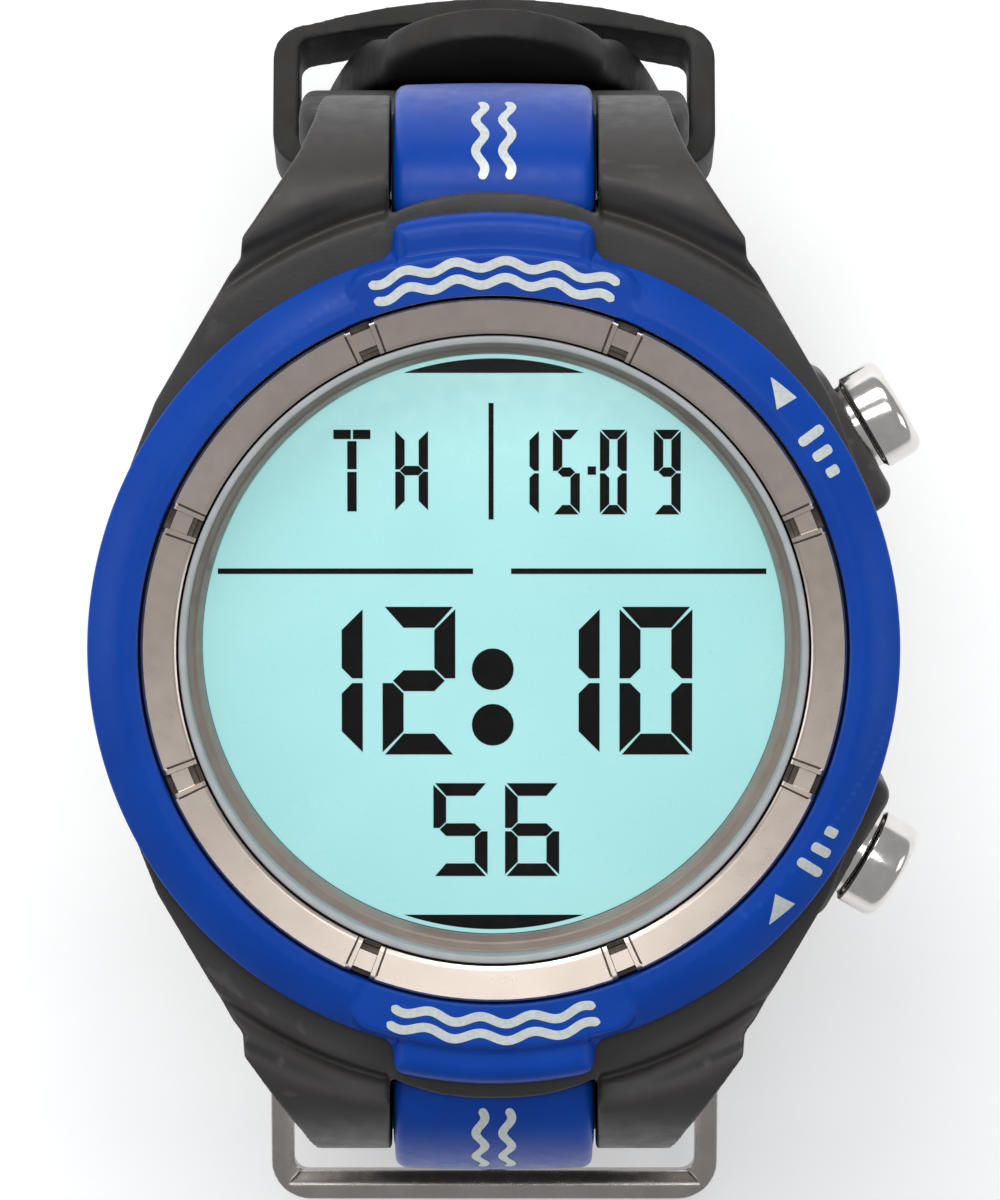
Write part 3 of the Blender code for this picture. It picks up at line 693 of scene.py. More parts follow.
def make_bezel_marks():
    """Waves over the two pads, and a triangle with three ticks beside each button."""
    top = [wave(radius, 90.0, 37.5, 5.0, 0.22, 0.27) for radius in (22.85, 21.85)]
    bottom = [wave(radius, -90.0, 32.0, 4.0, 0.22, 0.27) for radius in (22.85, 21.85)]
    paint("bezel_waves_upper", top)
    paint("bezel_waves_lower", bottom)
    marks = []
    for side in (1, -1):
        tip, foot = 44.8 * side, 40.4 * side
        shares = [i / 8 for i in range(9)]
        marks.append([on_ring(22.6 + 0.35 * share, foot + (tip - foot) * share, 0.66 * (1 - share) + 0.03)
                      for share in shares])
        for number, length in enumerate((1.7, 1.25, 0.8)):
            marks.append(bar(22.6, (34.4 - 3.1 * number) * side, length, 0.3))
    paint("bezel_button_marks", marks)


# ---------------------------------------------------------------- trim ring, lens and display

NOTCHES = 8
NOTCH_START = 22.5


def trim_height(radius, off):
    """Top of the trim ring; off is the distance along the rim from the middle of the nearest notch."""
    slope = (radius - TRIM_INNER) / (TRIM_OUTER - TRIM_INNER)
    top = TRIM_TOP - 0.25 * (1.0 - slope)
    edge = np.minimum(radius - TRIM_INNER, TRIM_OUTER - radius)
    top = top - 0.07 * (1.0 - smoothstep(edge, 0.0, 0.12))
    off = np.abs(off)
    floor = TRIM_TOP - 1.05
    bridge = np.where(radius > 19.32, top - 0.08, TRIM_TOP - 0.70)
    inside = np.where((radius > 20.42) | (radius < 19.02), floor, bridge)
    groove = top - 0.13
    height = np.where(off < 0.57, inside, top)
    height = np.where((off > 0.88) & (off < 0.97) & (radius < 20.5), groove, height)
    rib = (off > 0.57) & (off < 0.88)
    return np.where(rib, np.where(radius > 20.62, top - 0.5 * (radius - 20.62), top + 0.015), height)


def make_trim_ring():
    pitch = 2 * math.pi / NOTCHES
    middle_radius = (TRIM_INNER + TRIM_OUTER) / 2
    near = (0.0, 0.3, 0.55, 0.59, 0.64, 0.72, 0.81, 0.86, 0.90, 0.95, 0.99, 1.1)
    near = sorted(set(near) | {-value for value in near})
    far = np.linspace(1.3, pitch * middle_radius - 1.3, 14)
    angles, offs = [], []
    for notch in range(NOTCHES):
        start = math.radians(NOTCH_START) + notch * pitch
        for off in [*near, *far]:
            angles.append(start + off / middle_radius)
            offs.append(min(abs(off), abs(pitch * middle_radius - off)))
    angles, offs = np.array(angles), np.array(offs)
    radii = (0.0, 0.05, 0.12, 0.26, 0.30, 0.56, 0.60, 0.9, 1.3, 1.66, 1.70, 1.78, 1.86, 1.94, 2.01, 2.06)
    rings = [(TRIM_INNER, TRIM_BASE)]
    rings += [(TRIM_INNER + r, trim_height(TRIM_INNER + r, offs)) for r in radii]
    rings.append((TRIM_OUTER, TRIM_BASE))
    points = np.concatenate([ring_points(radius, z, angles) for radius, z in rings])
    trim = solid("trim", points, grid_faces(len(rings), len(angles), along=True))
    finished(trim, "trim_metal", "head", ["trim_ring"], angle=32)
    # Faces more than 0.09 mm below the top get the dark finish: painted shade in the notches and gaps.
    trim.data.materials.append(MATERIALS["trim_recess_shade"])
    for face in trim.data.polygons:
        corners = [trim.data.vertices[index].co / MM for index in face.vertices]
        full = min(trim_height(math.hypot(c.x, c.y), 5.0) - c.z for c in corners)
        face.material_index = int(full > 0.09)


def make_lens_and_surround():
    glass = rounded([(0.0, LENS_TOP + 0.06, 0), (LENS_RADIUS, LENS_TOP, 0.25), (LENS_RADIUS, LENS_BASE, 0.1),
                     (0.0, LENS_BASE, 0)], 4, closed=False)
    finished(turned("crystal", glass), "glass", "head", ["lens"], angle=50)
    inner = low_radius("lens_gasket")
    seal = rounded([(GASKET_OUTER, GASKET_TOP, 0.12), (GASKET_OUTER, LENS_BASE, 0.05),
                    (inner, LENS_BASE, 0.05), (inner, GASKET_TOP - 0.04, 0.12)], 4)
    finished(turned("crystal_seal", seal), "gasket_grey", "head", ["lens_gasket"])
    wall = rounded([(GASKET_OUTER, WALL_TOP, 0.08), (GASKET_OUTER, WALL_TOP - 0.5, 0.05),
                    (WALL_OUTER, WALL_TOP - 0.5, 0.05), (WALL_OUTER, WALL_BASE, 0.05),
                    (WINDOW_RADIUS - 0.05, WALL_BASE, 0.05), (WINDOW_RADIUS, WALL_BASE + 0.25, 0.1),
                    (17.66, WALL_BASE + 1.15, 0.0), (17.80, WALL_BASE + 1.2, 0.0),
                    (LENS_RADIUS, WALL_TOP, 0.1)], 4)
    finished(turned("window_wall", wall), "surround", "head", ["display_surround"])


def low_radius(node):
    """Inner radius of a ring about the display's axis."""
    corners = np.array([vertex.co for vertex in frame["nodes"][node].data.vertices]) / MM
    return float(np.hypot(corners[:, 0], corners[:, 1]).min())


def flat_shape(name, outlines, base, top, finish):
    """Thin prisms with straight sides, all in one piece."""
    points, faces = [], []
    for outline in outlines:
        faces += tube_faces(2, len(outline), len(points))
        points += [(u, v, z) for z in (base, top) for u, v in outline]
    return finished(solid(name, points, faces), finish, "head", angle=20)


SEGMENTS_OF = {"0": "abcdef", "1": "bc", "2": "abged", "5": "afgcd", "6": "afgecd", "9": "abfgcd",
               "H": "bcefg"}


def segment_outlines(letter, left, bottom, width, height, stroke, gap=0.1):
    """Outlines of a seven-segment character, its segments cut at a slant where they meet."""
    right, top, middle = left + width, bottom + height, bottom + height / 2
    half = stroke / 2

    def below(outline):
        return [(u, 2 * middle - v) for u, v in outline]

    over = [(left + gap, top), (right - gap, top), (right - stroke, top - stroke),
            (left + stroke, top - stroke)]
    beside = [(right, top - gap), (right, middle + gap), (right - half, middle + gap),
              (right - stroke, middle + half + gap), (right - stroke, top - stroke - gap)]
    facing = [(left + right - u, v) for u, v in beside]
    across = [(left + half, middle), (left + stroke, middle + half), (right - stroke, middle + half),
              (right - half, middle), (right - stroke, middle - half), (left + stroke, middle - half)]
    shapes = {"a": over, "b": beside, "c": below(beside), "d": below(over), "e": below(facing), "f": facing,
              "g": across}
    return [shapes[key] for key in SEGMENTS_OF[letter]]


def oblong(left, bottom, right, top):
    return [(left, bottom), (right, bottom), (right, top), (left, top)]


def letter_t(left, bottom, width, height, stroke):
    """A T from its own segments: two half bars and two halves of the stem."""
    middle, top, half = left + width / 2, bottom + height, stroke / 2
    centre = bottom + height / 2
    return [oblong(left, top - stroke, middle - 0.06, top),
            oblong(middle + 0.06, top - stroke, left + width, top),
            oblong(middle - half, centre + 0.08, middle + half, top - stroke - 0.12),
            oblong(middle - half, bottom, middle + half, centre - 0.08)]


def make_display():
    """The panel, lit by a painted glow, the black borders printed on it, and its digits."""
    edge = WINDOW_RADIUS - 0.05
    panel = rounded([(0.0, PANEL_TOP, 0), (edge, PANEL_TOP, 0.05), (edge, low("lcd_panel").z, 0.1),
                     (0.0, low("lcd_panel").z, 0)], 3, closed=False)
    finished(turned("display_panel", panel), "display", "head", ["lcd_panel"], angle=50)
    reach = math.degrees(math.acos(WINDOW_FLAT / PANEL_RADIUS))
    borders = [arc((0, 0), PANEL_RADIUS - 0.05, middle - reach, middle + reach, 40) for middle in (90, -90)]
    flat_shape("display_border", borders, PANEL_TOP - 0.1, PANEL_TOP + 0.03, "display_ink")
    shapes = []
    for letter, left, width in (("1", -9.11 + 1.31 - 4.33, 4.33), ("2", -6.62, 4.33),
                                ("1", 6.30 - 4.33, 4.33), ("0", 7.48, 4.33)):
        shapes += segment_outlines(letter, left, -6.57, width, 8.83, 1.25, 0.14)
    for letter, left in (("5", -3.6), ("6", 0.67)):
        shapes += segment_outlines(letter, left, -13.86, 3.23, 5.57, 0.76)
    for letter, left in (("1", 2.68 - 1.6), ("5", 3.51), ("0", 6.3), ("9", 9.5)):
        shapes += segment_outlines(letter, left, 7.77, 1.6, 5.04, 0.56, 0.07)
    shapes += segment_outlines("H", -5.85, 7.95, 1.95, 4.86, 0.56, 0.07)
    shapes += letter_t(-9.52, 7.95, 2.2, 4.86, 0.56)
    shapes += [arc((-0.06, y), 1.25, 0, 345, 24) for y in (-1.47, -4.79)]
    shapes.append(oblong(5.57, 10.13, 6.07, 10.63))
    shapes.append(oblong(-0.31, 7.47, -0.01, 14.4))
    shapes += [oblong(-16.4, 4.22, -1.23, 4.55), oblong(1.03, 4.22, 16.2, 4.55)]
    flat_shape("display_digits", shapes, PANEL_TOP - 0.1, PANEL_TOP + 0.045, "display_ink")


# ---------------------------------------------------------------- case and buttons

CREASE = 26.15
LOWER_LUG_REACH = LUG_REACH - 0.8
BRIDGE_REACH = 26.95


def case_outline():
    """Plan of the case: a circle with straight flanks, narrowing in a step to the four lug tips."""
    round_side = arc((0, 0), CASE_RADIUS, 0, 24, 24)
    flank = [(21.4, 11.0, 2.0), (20.0, 14.6, 2.0), (15.55, 22.2, 0.5), (14.95, 23.0, 0.5),
             (14.8, 24.35, 0.5), (14.2, 25.2, 0.5), (12.6, 27.6, 3.0), (11.5, 29.3, 3.0),
             (10.75, 31.0, 3.0), (10.35, LUG_REACH, 0.6)]
    corners = [(*round_side[-1], 0), *flank, (0.0, LUG_REACH, 0)]
    quarter = round_side + rounded(corners, 6, closed=False)[1:-1]
    top = quarter + mirrored(quarter)
    bottom = [(x, -y) for x, y in reversed(top)]
    return top + bottom[1:-1]


def lug_side(reach):
    """Side view of one end of the case: flat deck, then a rounded lug that reaches below the back."""
    front = ellipse(LUG_CENTRE, reach - LUG_CENTRE[0], DECK - LUG_CENTRE[1], 86, 0, 30)
    return [(24.6, DECK)] + front + [(reach - 1.0, 45.4), (29.8, 44.9), (26.5, 45.5), (23.4, BACK_Z)]


def strap_recess(side):
    """The space between two lugs for the strap's knuckle, round about the spring bar."""
    outline = arc((PIN_Y, PIN_Z), 7.0, 0, 125, 40)
    outline += [(22.3, 50.5), (23.1, 48.8), (23.1, 43.0), (35.0, 43.0), (35.0, PIN_Z)]
    outline = outline if side > 0 else mirrored(outline)
    return prism("recess", outline, -LUG_GAP_HALF, LUG_GAP_HALF, across_x=True)


def bridge_edge(x):
    """Reach in Y of the case's bridge between a tab and the strap's insert, which follows the tab."""
    return BRIDGE_REACH - 1.35 * (abs(x) / LUG_GAP_HALF) ** 2.4


def above_insert(side):
    """Clears the case over the strap's insert, back to the curved edge of the bridge."""
    places = np.linspace(LUG_GAP_HALF, -LUG_GAP_HALF, 25)
    edge = [(x, side * bridge_edge(x)) for x in places]
    far = [(-LUG_GAP_HALF, side * 36.0), (LUG_GAP_HALF, side * 36.0)]
    return prism("above_insert", edge + far, 56.0, 63.0)


def button_boss(side):
    boss = bevelled(block("boss", (22.6, 0, 0), (5.0, 9.4, 8.2)), 1.1)
    boss.rotation_euler = (0.0, 0.0, math.radians(BUTTON_ANGLE * side))
    boss.location = (0.0, 0.0, BUTTON_Z * MM)
    return settle(boss)


def case_form(points):
    """Sculpts the wings: a groove outside the deck, a soft ridge in from the step of the flank."""
    x, y, z = np.abs(points[:, 0]), np.abs(points[:, 1]), points[:, 2]
    radius = np.hypot(x, y)
    top = smoothstep(z, 52.5, 54.5) * (x > LUG_GAP_HALF + 0.05)
    inward = 1.0 - smoothstep(x, 8.0, 17.0)
    groove = smoothstep(radius, CREASE, CREASE + 0.4) * (1.0 - smoothstep(radius, CREASE + 0.6, CREASE + 2.6))
    line = np.exp(-((radius - CREASE - 0.4) / 0.4) ** 2)
    drop = top * (groove * (0.18 + 0.72 * inward) + 0.35 * line)
    start, end = np.array((15.2, 23.9)), np.array((8.6, 26.9))
    ridge = end - start
    along = np.clip(((x - start[0]) * ridge[0] + (y - start[1]) * ridge[1]) / (ridge @ ridge), 0.0, 1.0)
    away = (x - start[0] - along * ridge[0]) * -ridge[1] + (y - start[1] - along * ridge[1]) * ridge[0]
    away = -away / np.linalg.norm(ridge)
    off = np.hypot(x - start[0] - along * ridge[0], y - start[1] - along * ridge[1])
    outer = away < 0
    rise = np.where(outer, 1.0 - smoothstep(off, 0.05, 0.75), 1.0 - smoothstep(off, 0.1, 2.2))
    rise = 0.62 * rise * (1.0 - along) ** 1.2 * top
    moved = points.copy()
    moved[:, 2] += rise - drop
    return moved


def make_case():
    case = prism("case", case_outline(), 44.0, DECK)
    ends = lug_side(LUG_REACH) + mirrored(lug_side(LOWER_LUG_REACH))
    combine(case, prism("side", ends, -26.0, 26.0, across_x=True), "INTERSECT")
    join(case, button_boss(1), button_boss(-1))
    cut(case, strap_recess(1), strap_recess(-1), above_insert(1), above_insert(-1))
    cavity = [(0.0, 61.0), (GASKET_OUTER + 0.07, 61.0), (GASKET_OUTER + 0.07, WALL_TOP - 0.55),
              (WALL_OUTER + 0.07, WALL_TOP - 0.55), (WALL_OUTER + 0.07, WALL_BASE - 0.05),
              (17.75, WALL_BASE - 0.05), (17.75, 48.9), (19.2, 48.9), (19.2, 48.25),
              (BACK_RADIUS + 0.15, 48.25), (BACK_RADIUS + 0.15, 46.0), (0.0, 46.0)]
    cut(case, turned("cavity", cavity, 120))
    bore = [(0.0, 30.0), (3.3, 30.0), (3.3, 23.0), (1.0, 23.0), (1.0, 16.0), (0.0, 16.0)]
    for side in (1, -1):
        cut(case, at_button(turned("bore", bore, 48), side))
    for start, end in ((-PIN_Y - 0.55, -PIN_Y + 0.6), (PIN_Y - 0.55, PIN_Y + 0.55)):
        base = 43.0 if start < 0 else PIN_Z - 0.55
        slot = [(start, PIN_Z + 0.55), (start, base), (end, base), (end, PIN_Z + 0.55)]
        cut(case, prism("groove", slot, -7.6, 7.6, across_x=True))
    moulded(case, 0.17, 3, 0.35, case_form)
    finished(case, "case", "head", ["case_body"], angle=80)


def make_buttons():
    for name, side in (("button_upper", 1), ("button_lower", -1)):
        profile = rounded([(0.0, BUTTON_FACE, 0), (3.05, BUTTON_FACE, 0.75), (3.05, BUTTON_FACE - 2.4, 0.2),
                           (2.72, BUTTON_FACE - 2.6, 0.2), (2.72, PUSHER_FOOT, 0.1), (2.3, PUSHER_FOOT, 0.1),
                           (2.3, PUSHER_HOLLOW, 0.1), (0.0, PUSHER_HOLLOW, 0)], 6, closed=False)
        cap = at_button(turned(name + "_pusher", profile, 128), side)
        finished(cap, "polished_steel", name, [name + "_cap"], angle=50)
        sleeve = rounded([(3.25, 24.7, 0.12), (3.25, 23.2, 0.05), (2.95, 23.2, 0.05), (2.95, 24.65, 0.1)], 3)
        finished(at_button(turned(name + "_sleeve", sleeve, 128), side), "steel", "head")


def make_back():
    """The steel back with its screws and depth port, and the coin-slotted battery cap."""
    bore = 13.3
    profile = rounded([(BACK_RADIUS, 48.2, 0.1), (BACK_RADIUS, BACK_Z, 0.25), (18.9, BACK_Z, 0.05),
                       (18.75, BACK_Z + 0.12, 0.05), (18.45, BACK_Z + 0.12, 0.05), (18.3, BACK_Z, 0.05),
                       (bore, BACK_Z, 0.2), (bore, 48.2, 0.1)], 4)
    back = turned("back_plate", profile)
    cut(back, block("port", (0, -15.0, 47.0), (1.1, 1.1, 4.0)))
    dimple = rounded([(0.0, 47.5, 0), (0.55, 47.5, 0.1), (0.8, 46.5, 0), (0.0, 46.5, 0)], 3, closed=False)
    for angle in np.radians((0, 90, 180, 270)):
        hole = turned("dimple", dimple, 32)
        hole.location = (15.9 * math.cos(angle) * MM, 15.9 * math.sin(angle) * MM, 0)
        cut(back, hole)
    recess = [(0.0, 49.0), (0.7, 49.0), (0.7, 47.65), (1.35, 47.65), (1.35, 46.5), (0.0, 46.5)]
    head = rounded([(0.0, 51.2, 0), (0.6, 51.2, 0.1), (0.6, 47.6, 0.05), (1.25, 47.6, 0.05),
                    (1.25, 47.12, 0.15), (0.0, 47.04, 0)], 4, closed=False)
    for index in range(4):
        low_corner, high_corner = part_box(f"case_back_screw_{index + 1}")
        place = (low_corner + high_corner) / 2
        seat = turned("seat", recess, 48)
        seat.location = (place.x, place.y, 0.0)
        cut(back, seat)
        screw = turned(f"back_screw_{index + 1}", head, 48)
        for turn in (0, 90):
            drive = block("drive", (0, 0, 47.1), (1.5, 0.34, 0.7))
            drive.rotation_euler = (0, 0, math.radians(turn + 20 + 31 * index))
            cut(screw, drive)
        screw.location = (place.x, place.y, 0.0)
        settle(screw)
        finished(screw, "polished_steel", "head", [f"case_back_screw_{index + 1}"], angle=40)
    finished(back, "steel", "head", ["case_back"], angle=30)
    cap_radius = high("battery_cap").x
    profile = rounded([(0.0, 49.0, 0), (11.0, 49.0, 0.1), (11.0, 48.5, 0.05), (cap_radius, 48.5, 0.1),
                       (cap_radius, 48.15, 0.05), (12.4, 48.15, 0.05), (12.4, 47.35, 0.05),
                       (cap_radius, 47.35, 0.05), (cap_radius, BACK_Z, 0.2), (11.4, BACK_Z, 0.05),
                       (11.25, BACK_Z + 0.1, 0.05),
                       (10.9, BACK_Z + 0.1, 0.05), (10.75, BACK_Z, 0.05), (0.0, BACK_Z, 0)], 4, closed=False)
    cap = turned("coin_cap", profile)
    slot = bevelled(block("coin", (0, 0, 47.1), (13.0, 1.7, 1.6)), 0.5)
    cut(cap, slot)
    finished(cap, "steel", "battery_cap", ["battery_cap"], angle=30)


# ---------------------------------------------------------------- strap

def neck_outline():
    """Side view of the strap's end between the lugs: a knuckle round the bar, then the neck."""
    front = ellipse((PIN_Y, KNUCKLE_Z), INSERT_REACH - 0.75, INSERT_RISE - 0.75, 100, 0, 30)
    inner = arc((PIN_Y, PIN_Z), 2.6, 225, 165, 12)
    return front + [(31.2, 43.0), (30.6, 41.2), (29.0, 41.2), (28.4, 44.0), (27.6, 46.4)] + inner


def insert_path():
    return ellipse((PIN_Y, KNUCKLE_Z), INSERT_REACH, INSERT_RISE, 103, 0, 44) + [(32.35, 43.4), (32.4, 41.8)]


def upper_path():
    """Middle line of the strap half with the buckle: down, round the wrist side, to the buckle bar."""
    wall = [(29.7, 43.3), (30.4, 38.0), (30.8, 33.0)]
    turn = arc((CURVE_Y, CURVE_Z), UNDER_RADIUS, 0, -90, 10)
    end = [(0.0, 6.4), (-9.2, 6.4), (-14.0, 6.6), (-18.5, 7.6), (-21.6, 9.0), (-23.4, 10.2)]
    return smooth_path(wall + turn + end, 7)


def lower_path():
    """Middle line of the half with the tail: through the buckle, under the other half, up to the tip."""
    wall = [(-29.7, 43.3), (-30.5, 38.0), (-31.1, 30.0), (-31.2, 22.0), (-31.0, 16.0), (-30.0, 11.0)]
    under = [(-27.6, 6.8), (-23.6, 4.2), (-19.3, 2.3), (-15.5, 1.7), (-12.8, 1.7), (-9.0, 2.4),
             (-5.5, 3.0), (5.5, 3.0), (9.0, 2.4), (12.8, 1.7), (15.5, 1.8), (18.6, 3.4)]
    turn = arc((CURVE_Y, CURVE_Z), TAIL_RADIUS, -60, -8, 8)
    return smooth_path(wall + under + turn + [(34.4, 28.3), (35.5, 31.3), (37.1, 34.0)], 6)


def band(half, inner, outer, corner):
    """Section of a strap from inner to outer, with its long edges rounded."""
    return rounded([(half, outer, corner), (-half, outer, corner), (-half, inner, corner),
                    (half, inner, corner)], 5)


def shoulder_width(distance):
    """Half width near the lugs, where the strap's shoulders round in."""
    near = min(distance / 4.5, 1.0)
    return STRAP_HALF_WIDTH - 2.0 * (1.0 - math.sqrt(1.0 - (1.0 - near) ** 2))


def upper_section(distance, whole):
    half = STRAP_THICKNESS / 2
    return band(shoulder_width(distance), -half, half, 0.75)


TIP_LENGTH = 5.5
SLOT_COUNT = 10
SLOT_PITCH = 7.0
SLOT_WIDTH = 2.8


def tail_section(distance, whole):
    """Narrows along the tail to a round tip, whose inner face thins to a lip."""
    left = whole - distance
    half = STRAP_THICKNESS / 2
    taper = min(1.0, distance / whole * 1.6)
    width = shoulder_width(distance) + (TAIL_HALF_WIDTH - STRAP_HALF_WIDTH) * taper
    width = min(width, 7.0 + 0.27 * max(left - TIP_LENGTH, 0.0))
    reach = 1.0 - min(left / TIP_LENGTH, 1.0)
    width *= math.sqrt(max(0.0, 1.0 - reach ** 2.2)) * 0.96 + 0.04
    thin = 0.9 * smoothstep(left, 11.0, 0.0)
    return band(width, -half + thin, half, min(0.75, width * 0.45, (STRAP_THICKNESS - thin) * 0.45))


def slot_cutters(path, first_below):
    """Cutters for the spare slots of the tail, square to the strap, with round ends."""
    along = lengths_along(path)
    start = next(distance for (y, z), distance in zip(path, along) if z < first_below)
    cutters = []
    half = SLOT_WIDTH / 2
    outline = rounded([(half, half, 0.7), (-half, half, 0.7), (-half, -half, 0.7), (half, -half, 0.7)], 5)
    for number in range(1, SLOT_COUNT + 1):
        wanted = start + number * SLOT_PITCH
        index = next(i for i, distance in enumerate(along) if distance > wanted)
        (y, z), (next_y, next_z) = path[index], path[index + 1]
        cutter = prism("slot", outline, -3.0, 3.0)
        cutter.location = (0.0, y * MM, z * MM)
        cutter.rotation_euler = (math.atan2(next_z - z, next_y - y), 0.0, 0.0)
        cutters.append(cutter)
    return cutters


def rod(name, radius, y, z, half_length):
    outline = [(0.0, half_length), (radius, half_length), (radius, -half_length), (0.0, -half_length)]
    return laid_across(turned(name, outline, 48), y, z)


def make_strap():
    upper = sweep("strap_with_buckle", upper_path(), upper_section)
    join(upper, prism("neck", neck_outline(), -NECK_HALF_WIDTH, NECK_HALF_WIDTH, across_x=True))
    join(upper, rod("loop", 2.1, BAR_Y, BAR_Z, STRAP_HALF_WIDTH))
    cut(upper, rod("bar", 0.85, PIN_Y, PIN_Z, 20.0), rod("bar", 1.0, BAR_Y, BAR_Z, 20.0),
        block("gap", (0, BAR_Y, BAR_Z), (3.4, 6.0, 5.6)))
    moulded(upper, 0.2, 3, 0.25)
    finished(upper, "strap_rubber", "strap_loop", ["strap_upper"], angle=80)
    path = lower_path()
    lower = sweep("strap_with_tail", path, tail_section)
    join(lower, prism("neck", mirrored(neck_outline()), -NECK_HALF_WIDTH, NECK_HALF_WIDTH, across_x=True))
    cut(lower, rod("bar", 0.85, -PIN_Y, PIN_Z, 20.0), block("slot", (0, -29.7, 9.6), (2.8, 7.4, 5.4)),
        *slot_cutters(path, BAR_Z))
    moulded(lower, 0.2, 3, 0.25)
    finished(lower, "strap_rubber", "strap_loop", ["strap_lower"], angle=80)


def insert_section(distance, whole):
    """Crowned across, rounded at the edges, and drawn in at both ends."""
    end = min(distance, whole - distance)
    drawn = 1.0 - math.sqrt(max(0.0, 1.0 - (1.0 - min(end / 1.4, 1.0)) ** 2))
    half = INSERT_HALF_WIDTH - 1.3 * drawn
    outer = 0.6 - 0.5 * drawn
    edge = [(half - 0.8 + 0.8 * math.sin(a), outer - 0.6 + 0.6 * math.cos(a))
            for a in np.linspace(0.2, 1.5, 8)]
    crown = [(x * (half - 0.85), outer + 0.10 * (1.0 - x * x)) for x in (0.0, 0.35, 0.7, 0.95)]
    right = crown + edge + [(half, -0.6)]
    return right + [(-x, out) for x, out in reversed(right[1:])]


def make_inserts():
    for name, path in (("upper", insert_path()), ("lower", mirrored(insert_path()))):
        body = sweep(f"insert_{name}", path, insert_section)
        finished(body, "bezel_blue", "strap_loop", [f"strap_insert_{name}"], angle=50)


def insert_waves():
    """Two painted waves running along each insert's outer face."""
    steps = 91
    turn = np.radians(np.linspace(79.0, 33.0, steps))
    swing = np.linspace(0.0, 2 * math.pi * 2.5, steps)
    end = np.minimum(np.arange(steps), np.arange(steps)[::-1]) / 3.0
    half = 0.27 * np.sqrt(np.clip(1.0 - (1.0 - np.minimum(end, 1.0)) ** 2, 0.05, 1.0))
    out = np.stack([np.cos(turn) / INSERT_REACH, np.sin(turn) / INSERT_RISE], axis=1)
    out /= np.linalg.norm(out, axis=1)[:, None]
    base = np.stack([PIN_Y + INSERT_REACH * np.cos(turn), KNUCKLE_Z + INSERT_RISE * np.sin(turn)], axis=1)
    along = np.concatenate([[0.0], np.cumsum(np.linalg.norm(np.diff(base, axis=0), axis=1))])
    for name, side in (("upper", 1), ("lower", -1)):
        points, faces = [], []
        for offset in (-0.8, 0.8):
            first = len(points)
            across = offset + 0.27 * np.sin(swing)
            slant = np.gradient(across) / np.gradient(along)
            wide = 1.0 / np.sqrt(1.0 + slant ** 2)
            for i in range(steps):
                for sign, above in ((1, 0.74), (-1, 0.74), (-1, 0.6), (1, 0.6)):
                    shift = -sign * half[i] * slant[i] * wide[i]
                    y = base[i, 0] + above * out[i, 0] + shift * out[i, 1]
                    z = base[i, 1] + above * out[i, 1] - shift * out[i, 0]
                    points.append((across[i] + sign * half[i] * wide[i], side * y, z))
            faces += tube_faces(steps, 4, first)
        waves = solid(f"insert_waves_{name}", points, faces)
        finished(waves, "silver_paint", "strap_loop", angle=30)


def box_outline(half_x, low_v, high_v, radius, bulge=0.0):
    """A rectangle in (x, v) with round corners, its high side bowed out by bulge."""
    steps = 8
    outline = rounded([(half_x, low_v, radius), (half_x, high_v, radius), (-half_x, high_v, radius),
                       (-half_x, low_v, radius)], steps)
    if bulge:
        span = half_x - radius
        bow = [(span * t, high_v + bulge * (1 - t * t)) for t in np.linspace(0.9, -0.9, 19)]
        high_side = 2 * (steps + 1)
        outline[high_side:high_side] = bow
    return outline


def make_keepers():
    fixed = prism("keeper_inner", box_outline(14.0, 0.0, 9.6, 2.2), -4.5, 4.5)
    cut(fixed, prism("hole", box_outline(12.45, 1.2, 8.3, 0.9), -9.0, 9.0))
    fixed.rotation_euler = (math.radians(90), 0.0, 0.0)
    moulded(fixed, 0.2, 3, 0.3)
    finished(fixed, "strap_rubber", "strap_loop", ["keeper_fixed"], angle=80)
    loose = prism("keeper_outer", box_outline(14.0, 18.1, 27.4, 2.2, 1.7), -3.4, 3.4)
    cut(loose, prism("hole", box_outline(12.35, 19.5, 26.5, 0.8, 1.2), -9.0, 9.0))
    loose.rotation_euler = (math.radians(-17.0), 0.0, 0.0)
    loose.location = (0.0, CURVE_Y * MM, CURVE_Z * MM)
    moulded(loose, 0.16, 3, 0.3)
    finished(loose, "strap_rubber", "keeper_floating", ["keeper_floating"], angle=80)


BUCKLE_END = low("buckle_frame").y - 0.9


def buckle_form(points):
    """Slopes the upper face of the loop down to its inner edge."""
    x, y, z = np.abs(points[:, 0]), points[:, 1], points[:, 2]
    outside = np.minimum(high("buckle_frame").x - x, y - BUCKLE_END)
    middle = 10.9 + 0.1 * (y + 30.0)
    upper = smoothstep(z - middle, -0.6, 0.9) * smoothstep(-y, 24.0, 27.0)
    moved = points.copy()
    moved[:, 2] -= 1.1 * upper * smoothstep(outside, 0.75, 2.1)
    return moved


